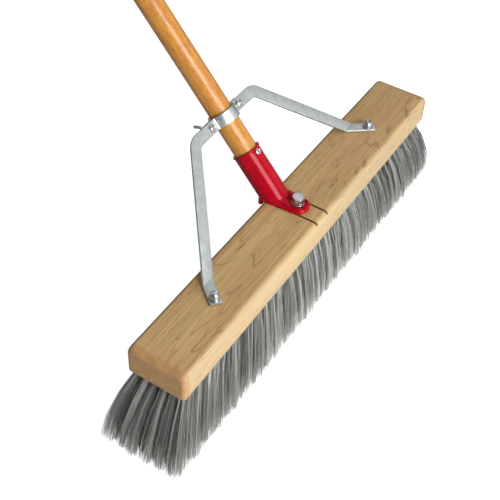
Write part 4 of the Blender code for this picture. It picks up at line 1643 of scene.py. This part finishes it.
@dataclass
class StrapBrace:
    """The flat strap bent over the handle and down to the block, and the strap behind the handle."""

    width: float = 12.0 * MM
    thickness: float = STRAP_THICKNESS
    edge: float = 0.6 * MM
    split: float = 1.5 * MM
    bow: float = 13.4 * MM
    bow_fillet: float = 3.0 * MM
    corner_x: float = 48.6 * MM
    bend: float = 14.0 * MM
    slope: float = math.radians(44.8)
    angle: float = math.radians(50.3)
    fold: float = 3.2 * MM
    foot_end: float = 7.4 * MM
    foot_corner: float = 1.6 * MM
    rear_end: float = 1.5 * MM

    def ring(self, centre: Vector, tangent: Vector, normal: Vector, half: float | None = None,
             skew: Vector | None = None) -> Ring:
        """A strap section with eased edges.

        Args:
            centre: the section's middle.
            tangent: the way the strap runs.
            normal: the way its face looks.
            half: half its width, the strap's own unless given.
            skew: the width's direction where it isn't square.

        Returns:
            The section's points.
        """
        half = self.width / 2 if half is None else half
        wide = (skew or normal.cross(tangent)).normalized() * half
        thick = normal.normalized() * (self.thickness / 2)
        in_wide, in_thick = min(1.0, self.edge / half), self.edge / (self.thickness / 2)
        points = []
        for quarter, (sx, sy) in enumerate(((1, 1), (-1, 1), (-1, -1), (1, -1))):
            for step in range(5):
                turn = math.pi / 2 * (quarter + step / 4)
                points.append(centre + wide * (sx * (1 - in_wide) + in_wide * math.cos(turn))
                              + thick * (sy * (1 - in_thick) + in_thick * math.sin(turn)))
        return points

    def clamp_rings(self, side: int) -> list[Ring]:
        """Follow half a clamp from the bow's crown to the ear.

        Args:
            side: -1 for the strap in front of the handle, 1 for the one behind.

        Returns:
            The rings.
        """
        axes = AXIS_FRAME.to_3x3()
        fillet_y = self.split + self.bow_fillet
        fillet_x = math.sqrt((self.bow + self.bow_fillet) ** 2 - fillet_y ** 2)
        meet = math.atan2(fillet_x, fillet_y)
        rings = []

        def put(x: float, y: float, turn: float) -> None:
            """Add a section.

            Args:
                x: its distance from the handle's middle.
                y: how far in front or behind it lies.
                turn: how far its face has turned, in radians.
            """
            centre = AXIS_FRAME @ Vector((x, side * y, CLAMP_PLACE))
            normal = axes @ Vector((math.sin(turn), side * math.cos(turn), 0))
            tangent = axes @ Vector((math.cos(turn), -side * math.sin(turn), 0))
            rings.append(self.ring(centre, tangent, normal))

        for i in range(24):
            turn = meet * (i + 0.5) / 24
            put(self.bow * math.sin(turn), self.bow * math.cos(turn), turn)
        for i in range(11):
            turn = meet * (1 - i / 10)
            put(fillet_x - self.bow_fillet * math.sin(turn),
                fillet_y - self.bow_fillet * math.cos(turn), turn)
        return rings

    def round_end(self, centre: Vector, tangent: Vector, normal: Vector) -> list[Ring]:
        """Close a strap in a half circle.

        Args:
            centre: the middle of the first section.
            tangent: the way the strap runs.
            normal: the way its face looks.

        Returns:
            The sections.
        """
        half = self.width / 2
        turns = [math.radians(84) * i / 14 for i in range(15)]
        return [self.ring(centre + tangent * (half * math.sin(a)), tangent, normal, half * math.cos(a))
                for a in turns]

    def square_end(self, centre: Vector, tangent: Vector, normal: Vector) -> list[Ring]:
        """Carry a strap to a square end with eased corners.

        Args:
            centre: the middle of the first section.
            tangent: the way the strap runs.
            normal: the way its face looks.

        Returns:
            The sections.
        """
        half, start = self.width / 2, self.foot_end - self.foot_corner
        rings = [self.ring(centre + tangent * (start * share), tangent, normal) for share in (0, 0.5, 1)]
        for degrees in (15, 30, 45, 60, 75, 87):
            turn = math.radians(degrees)
            spot = centre + tangent * (start + self.foot_corner * math.sin(turn))
            rings.append(self.ring(spot, tangent, normal, half - self.foot_corner * (1 - math.cos(turn))))
        return rings

    def arm_rings(self) -> list[Ring]:
        """Follow the right arm from its ear round the edgewise bend, down and onto the block.

        Returns:
            The rings.
        """
        along = Vector((1, 0, 0))
        down = Vector((0, -math.cos(self.slope), -math.sin(self.slope)))
        ear_normal = -BEHIND
        arm_normal = Vector((0, -math.sin(self.slope), math.cos(self.slope)))
        corner = AXIS_FRAME @ Vector((self.corner_x, -self.split, CLAMP_PLACE))
        trim = self.bend * math.tan(self.angle / 2)
        pivot = corner - along * trim + down * self.bend
        rings = []
        for i in range(21):
            share = i / 20
            turn = self.angle * share
            centre = pivot + self.bend * (along * math.sin(turn) - down * math.cos(turn))
            tangent = along * math.cos(turn) + down * math.sin(turn)
            rings.append(self.ring(centre, tangent, ear_normal.lerp(arm_normal, share)))
        foot_z = BLOCK_TOP + GAP + self.thickness / 2
        half = self.width / 2 / math.sin(self.angle)
        fall = (corner.z - foot_z) / math.sin(self.slope)
        fold = corner + down * fall + along * (fall / math.tan(self.angle))
        fold_trim = self.fold * math.tan(self.slope / 2)
        for i in range(11):
            lean = self.slope * (1 - i / 10)
            normal = Vector((0, -math.sin(lean), math.cos(lean)))
            y = fold.y - fold_trim + self.fold * math.sin(lean)
            z = foot_z + self.fold * (1 - math.cos(lean))
            slide = fold_trim * (2 * i / 10 - 1) / math.tan(self.angle)
            rings.append(self.ring(Vector((fold.x + slide, y, z)), along, normal, half, along))
        end = Vector((FOOT_X, FIXING_Y, foot_z))
        outward = (end - Vector((fold.x, fold.y, foot_z))).normalized()
        return rings + self.square_end(end, outward, Vector((0, 0, 1)))

    @staticmethod
    def both_sides(rings: Sequence[Ring]) -> list[Ring]:
        """Returns a whole strap from its right half."""
        left = [[Vector((-p.x, p.y, p.z)) for p in ring] for ring in reversed(rings)]
        return left + list(rings)

    def build(self) -> None:
        """Make and dress both straps."""
        brace = skin("strap_brace", self.both_sides(self.clamp_rings(-1) + self.arm_rings()), sharp=40.0)
        dress(brace, STRAP_FINISH, Body.BROOM, "brace")
        ear = AXIS_FRAME @ Vector((CLAMP_SCREW_X + self.rear_end, self.split, CLAMP_PLACE))
        half = self.clamp_rings(1) + self.round_end(ear, Vector((1, 0, 0)), BEHIND)
        dress(skin("rear_strap", self.both_sides(half), sharp=40.0), STRAP_FINISH, Body.BROOM,
              "rear_clamp_strap")


def domed(radius: float, height: float, seat: float, outward: int) -> Profile:
    """Returns profile points over a domed head from its top to its seat."""
    turns = [math.radians(84) * (1 - i / 10) for i in range(11)]
    return [(radius * math.cos(a), seat + outward * height * math.sin(a)) for a in turns]


@dataclass
class ClampFasteners:
    """The two slotted clamp screws, their washers behind, and the wing nuts that turn on them."""

    ear_face: float = 2.7 * MM
    screw_radius: float = 2.3 * MM
    head: tuple[float, float] = (3.9 * MM, 2.6 * MM)
    screw_end: float = 13.4 * MM
    washer: tuple[float, float] = (4.7 * MM, 1.1 * MM)
    hub: tuple[float, float, float] = (4.8 * MM, 4.0 * MM, 6.0 * MM)
    wing: float = 1.9 * MM
    wing_turn: float = math.radians(22)
    thread_start: float = 3.0 * MM
    thread_pitch: float = 0.9 * MM
    thread_depth: float = 0.28 * MM
    screw_turn: float = math.radians(24)

    def screw(self) -> bpy.types.Object:
        """Turn one screw in its own frame, with its thread as rings.

        Returns:
            The screw.
        """
        seat = -(self.ear_face + GAP)
        profile = domed(*self.head, seat, -1)
        radius, z = self.screw_radius, self.thread_start
        profile += [(self.head[0], seat - 0.02 * MM), (radius, seat), (radius, z)]
        while z < self.screw_end - 1.2 * MM:
            profile += [(radius - self.thread_depth, z + self.thread_pitch * 0.5),
                        (radius, z + self.thread_pitch)]
            z += self.thread_pitch
        profile += [(radius - 0.5 * MM, self.screw_end)]
        outer = seat - self.head[1]
        made = turned("clamp screw pattern", profile, count=40)
        return slotted(made, 6 * MM, outer - 1 * MM, outer + 1.1 * MM)

    def wing_outline(self) -> Ring:
        """Outline one wing: distance from the screw, and height above the seat.

        Returns:
            The outline.
        """
        tip = arc((8.6 * MM, 8.6 * MM), 1.6 * MM, math.radians(-30), math.radians(180), 14)
        under = ((4.0, 1.2), (5.8, 2.0), (7.4, 3.6))
        over = ((6.4, 7.0), (5.4, 6.0), (3.0, 5.0))
        return ([Vector((x * MM, y * MM)) for x, y in under] + tip
                + [Vector((x * MM, y * MM)) for x, y in over])

    def wing_nut(self, name: str, side: int) -> bpy.types.Object:
        """Make a cast wing nut on its screw.

        Args:
            name: the piece's name.
            side: -1 for the left one, 1 for the right one.

        Returns:
            The nut.
        """
        seat = self.ear_face + self.washer[1] + 2 * GAP
        place = across_handle(side * CLAMP_SCREW_X, CLAMP_PLACE) @ Matrix.Translation((0, 0, seat))
        base, top, height = self.hub
        profile = eased([(base - 0.1 * MM, 0.0), (base, 0.4 * MM), (top, height - 0.4 * MM),
                         (top - 0.4 * MM, height)], 0.3 * MM, closed=False)
        nut = turned(name, profile, place, 48)
        right = self.wing_outline()
        outline = right + [Vector((-p.x, p.y)) for p in reversed(right)]
        turn = Matrix.Rotation(math.pi / 2 - self.wing_turn, 4, "Z")
        rings = [[Vector((p.x * shrink, y, p.y)) for p in outline]
                 for y, shrink in ((-self.wing / 2, 0.97), (-self.wing * 0.3, 1.0), (self.wing * 0.3, 1.0),
                                   (self.wing / 2, 0.97))]
        combine(nut, skin("wings", rings, place @ turn), Cut.ADD)
        hole = turned("hole", [(self.screw_radius + GAP, -height), (self.screw_radius + GAP, 3 * height)],
                      place, 40)
        combine(nut, hole, Cut.REMOVE)
        return soften(nut, 0.22 * MM, 4)

    def build(self) -> None:
        """Make and dress the screws, washers and wing nuts."""
        tree = fastener_tree()
        first = AXIS_FRAME @ Vector((-CLAMP_SCREW_X, 0, CLAMP_PLACE))
        tilt = HANDLE_ANGLE - math.pi
        screws = pair("clamp_screws", self.screw(), tree, first, tilt, self.screw_turn)
        dress(screws, ZINC_FINISH, Body.BROOM, "clamp_screw_left", "clamp_screw_right")
        outer, thick = self.washer
        profile = washer_profile(self.screw_radius + GAP, outer, self.ear_face + GAP, thick, 0.25 * MM)
        ring = turned("washer pattern", profile, closed=True)
        washers = pair("wing_nut_washers", ring, tree, first, tilt, 0.0)
        dress(washers, ZINC_FINISH, Body.BROOM, "wing_washer_left", "wing_washer_right")
        for side, word, body in ((-1, "left", Body.LEFT_WING_NUT), (1, "right", Body.RIGHT_WING_NUT)):
            dress(self.wing_nut(f"cast_wing_nut_{word}", side), ZINC_FINISH, body, f"wing_nut_{word}")


@dataclass
class FootScrews:
    """The two slotted screws with collars that hold the brace's feet."""

    radius: float = 2.4 * MM
    head: tuple[float, float] = (4.9 * MM, 5.8 * MM)
    collar: tuple[float, float] = (5.4 * MM, 1.2 * MM)
    length: float = 22.0 * MM
    slot_depth: float = 1.3 * MM
    turn: float = math.radians(35)

    def build(self) -> None:
        """Make and dress both screws as one piece."""
        seat = BLOCK_TOP + STRAP_THICKNESS + 2 * GAP
        collar = seat + self.collar[1]
        end = BLOCK_TOP - self.length + 4 * GAP
        wide = self.collar[0]
        profile = domed(*self.head, collar - 0.1 * MM, 1)
        profile += [(self.head[0] + 0.25 * MM, collar - 0.02 * MM),
                    (wide - 0.45 * MM, collar - 0.05 * MM), (wide - 0.15 * MM, collar - 0.2 * MM),
                    (wide, seat + 0.5 * MM), (wide - 0.1 * MM, seat + 0.15 * MM),
                    (wide - 0.4 * MM, seat), (self.radius, seat), (self.radius, end + 5 * MM),
                    (0.4 * MM, end)]
        top = collar + self.head[1]
        made = slotted(turned("foot screw pattern", profile), 8 * MM, top - self.slot_depth, top + 2 * MM)
        screws = pair("foot_screws", made, fastener_tree(), Vector((-FOOT_X, FIXING_Y, 0)), 0.0, self.turn)
        dress(screws, ZINC_FINISH, Body.BROOM, "foot_screw_left", "foot_screw_right")


# --- Studio --------------------------------------------------------------------------------------


@dataclass
class Softbox:
    """One rectangular lamp that looks at a point."""

    name: str
    direction: tuple[float, float, float]
    distance: float
    size: tuple[float, float]
    power: float
    colour: Colour = (1.0, 1.0, 1.0)
    slide: float = 0.0
    target: tuple[float, float, float] = (0.0, 0.04, 0.13)

    def build(self) -> None:
        """Place the lamp."""
        lamp = bpy.data.lights.new(self.name, "AREA")
        lamp.shape = "RECTANGLE"
        lamp.size, lamp.size_y = self.size
        lamp.energy = self.power
        lamp.color = self.colour
        made = show(self.name, lamp)
        away = Vector(self.direction).normalized()
        turn = away.to_track_quat("Z", "Y")
        made.rotation_mode = "QUATERNION"
        made.rotation_quaternion = turn
        made.location = Vector(self.target) + away * self.distance + (turn @ Vector((1, 0, 0))) * self.slide


@dataclass
class Studio:
    """Pale floor, soft lamps and the camera."""

    yaw: float = 57.1712
    pitch: float = 46.5536
    roll: float = 1.2629
    lens: float = 70.499
    shift: tuple[float, float] = (0.060989, 0.005127)
    position: tuple[float, float, float] = (-0.610509, -0.307701, 0.756493)
    world: Colour = (0.55, 0.57, 0.60)
    world_strength: float = 0.28
    floor_half: float = 9.0
    lamps: list[Softbox] = field(default_factory=lambda: [
        Softbox("key left", (-0.295, -0.860, 0.415), 1.7, (0.40, 1.1), 16.5, slide=-0.215),
        Softbox("key right", (-0.295, -0.860, 0.415), 1.7, (0.40, 1.1), 16.5, slide=0.215),
        Softbox("front fill", (0.65, -0.68, 0.34), 2.2, (1.6, 1.4), 5.4),
        Softbox("top fill", (0.1, -0.1, 1.0), 2.4, (2.2, 2.2), 9.0),
        Softbox("back fill", (0.65, 0.37, 0.66), 2.2, (1.6, 1.6), 5.0)])

    def build(self) -> None:
        """Make the camera, the floor, the world and the lamps."""
        self.build_camera()
        self.build_floor()
        self.build_world()
        for lamp in self.lamps:
            lamp.build()
        bpy.context.scene.view_settings.view_transform = "Standard"
        log.info("studio: %d lamps", len(self.lamps))

    def build_camera(self) -> None:
        """Place the camera."""
        yaw, pitch, roll = (math.radians(a) for a in (self.yaw, self.pitch, self.roll))
        ahead = Vector((math.sin(yaw) * math.cos(pitch), math.cos(yaw) * math.cos(pitch), -math.sin(pitch)))
        level = Vector((math.cos(yaw), -math.sin(yaw), 0))
        above = level.cross(ahead)
        right = math.cos(roll) * level + math.sin(roll) * above
        up = -math.sin(roll) * level + math.cos(roll) * above
        data = bpy.data.cameras.new("camera")
        data.lens = self.lens
        data.sensor_width = 36.0
        data.shift_x, data.shift_y = self.shift
        data.clip_start, data.clip_end = 0.01, 100.0
        made = show("camera", data)
        turn = Matrix((right, up, -ahead)).transposed().to_4x4()
        made.matrix_world = Matrix.Translation(self.position) @ turn
        bpy.context.scene.camera = made

    def build_floor(self) -> None:
        """Lay a pale floor that the camera sees as nearly white."""
        half = self.floor_half
        work = bmesh.new()
        bmesh.ops.create_grid(work, x_segments=4, y_segments=4, size=half)
        mesh = bpy.data.meshes.new("floor")
        work.to_mesh(mesh)
        work.free()
        made = show("floor", mesh)
        paint = bpy.data.materials.new("pale floor")
        paint.use_nodes = True
        sheet = Sheet(paint.node_tree)
        shader = paint.node_tree.nodes["Principled BSDF"]
        place = sheet.term("ShaderNodeTexCoord", output="Object")
        tone = sheet.blend(sheet.noise(place, 6.0, 3.0), (0.80, 0.80, 0.80), (0.84, 0.84, 0.84))
        sheet.feed(shader.inputs["Base Color"], tone)
        shader.inputs["Roughness"].default_value = 0.9
        shader.inputs["Emission Color"].default_value = (1.0, 1.0, 1.0, 1.0)
        seen = sheet.term("ShaderNodeLightPath", output="Is Camera Ray")
        sheet.feed(shader.inputs["Emission Strength"], seen * 0.8)
        mesh.materials.append(paint)

    def build_world(self) -> None:
        """Fill the room with even light."""
        world = bpy.data.worlds.new("studio")
        world.use_nodes = True
        back = world.node_tree.nodes["Background"]
        back.inputs["Color"].default_value = (*self.world, 1.0)
        back.inputs["Strength"].default_value = self.world_strength
        bpy.context.scene.world = world


def main() -> None:
    """Build every part of the broom and its studio in order."""
    logging.basicConfig(level=logging.INFO, format="%(name)s: %(message)s")
    Studio().build()
    for part in (Block(), BristleField(), SocketBracket(), BoltSet(), Handle(), StrapBrace(),
                 ClampFasteners(), FootScrews()):
        log.info("building %s", type(part).__name__)
        part.build()


if __name__ == "__main__":
    main()
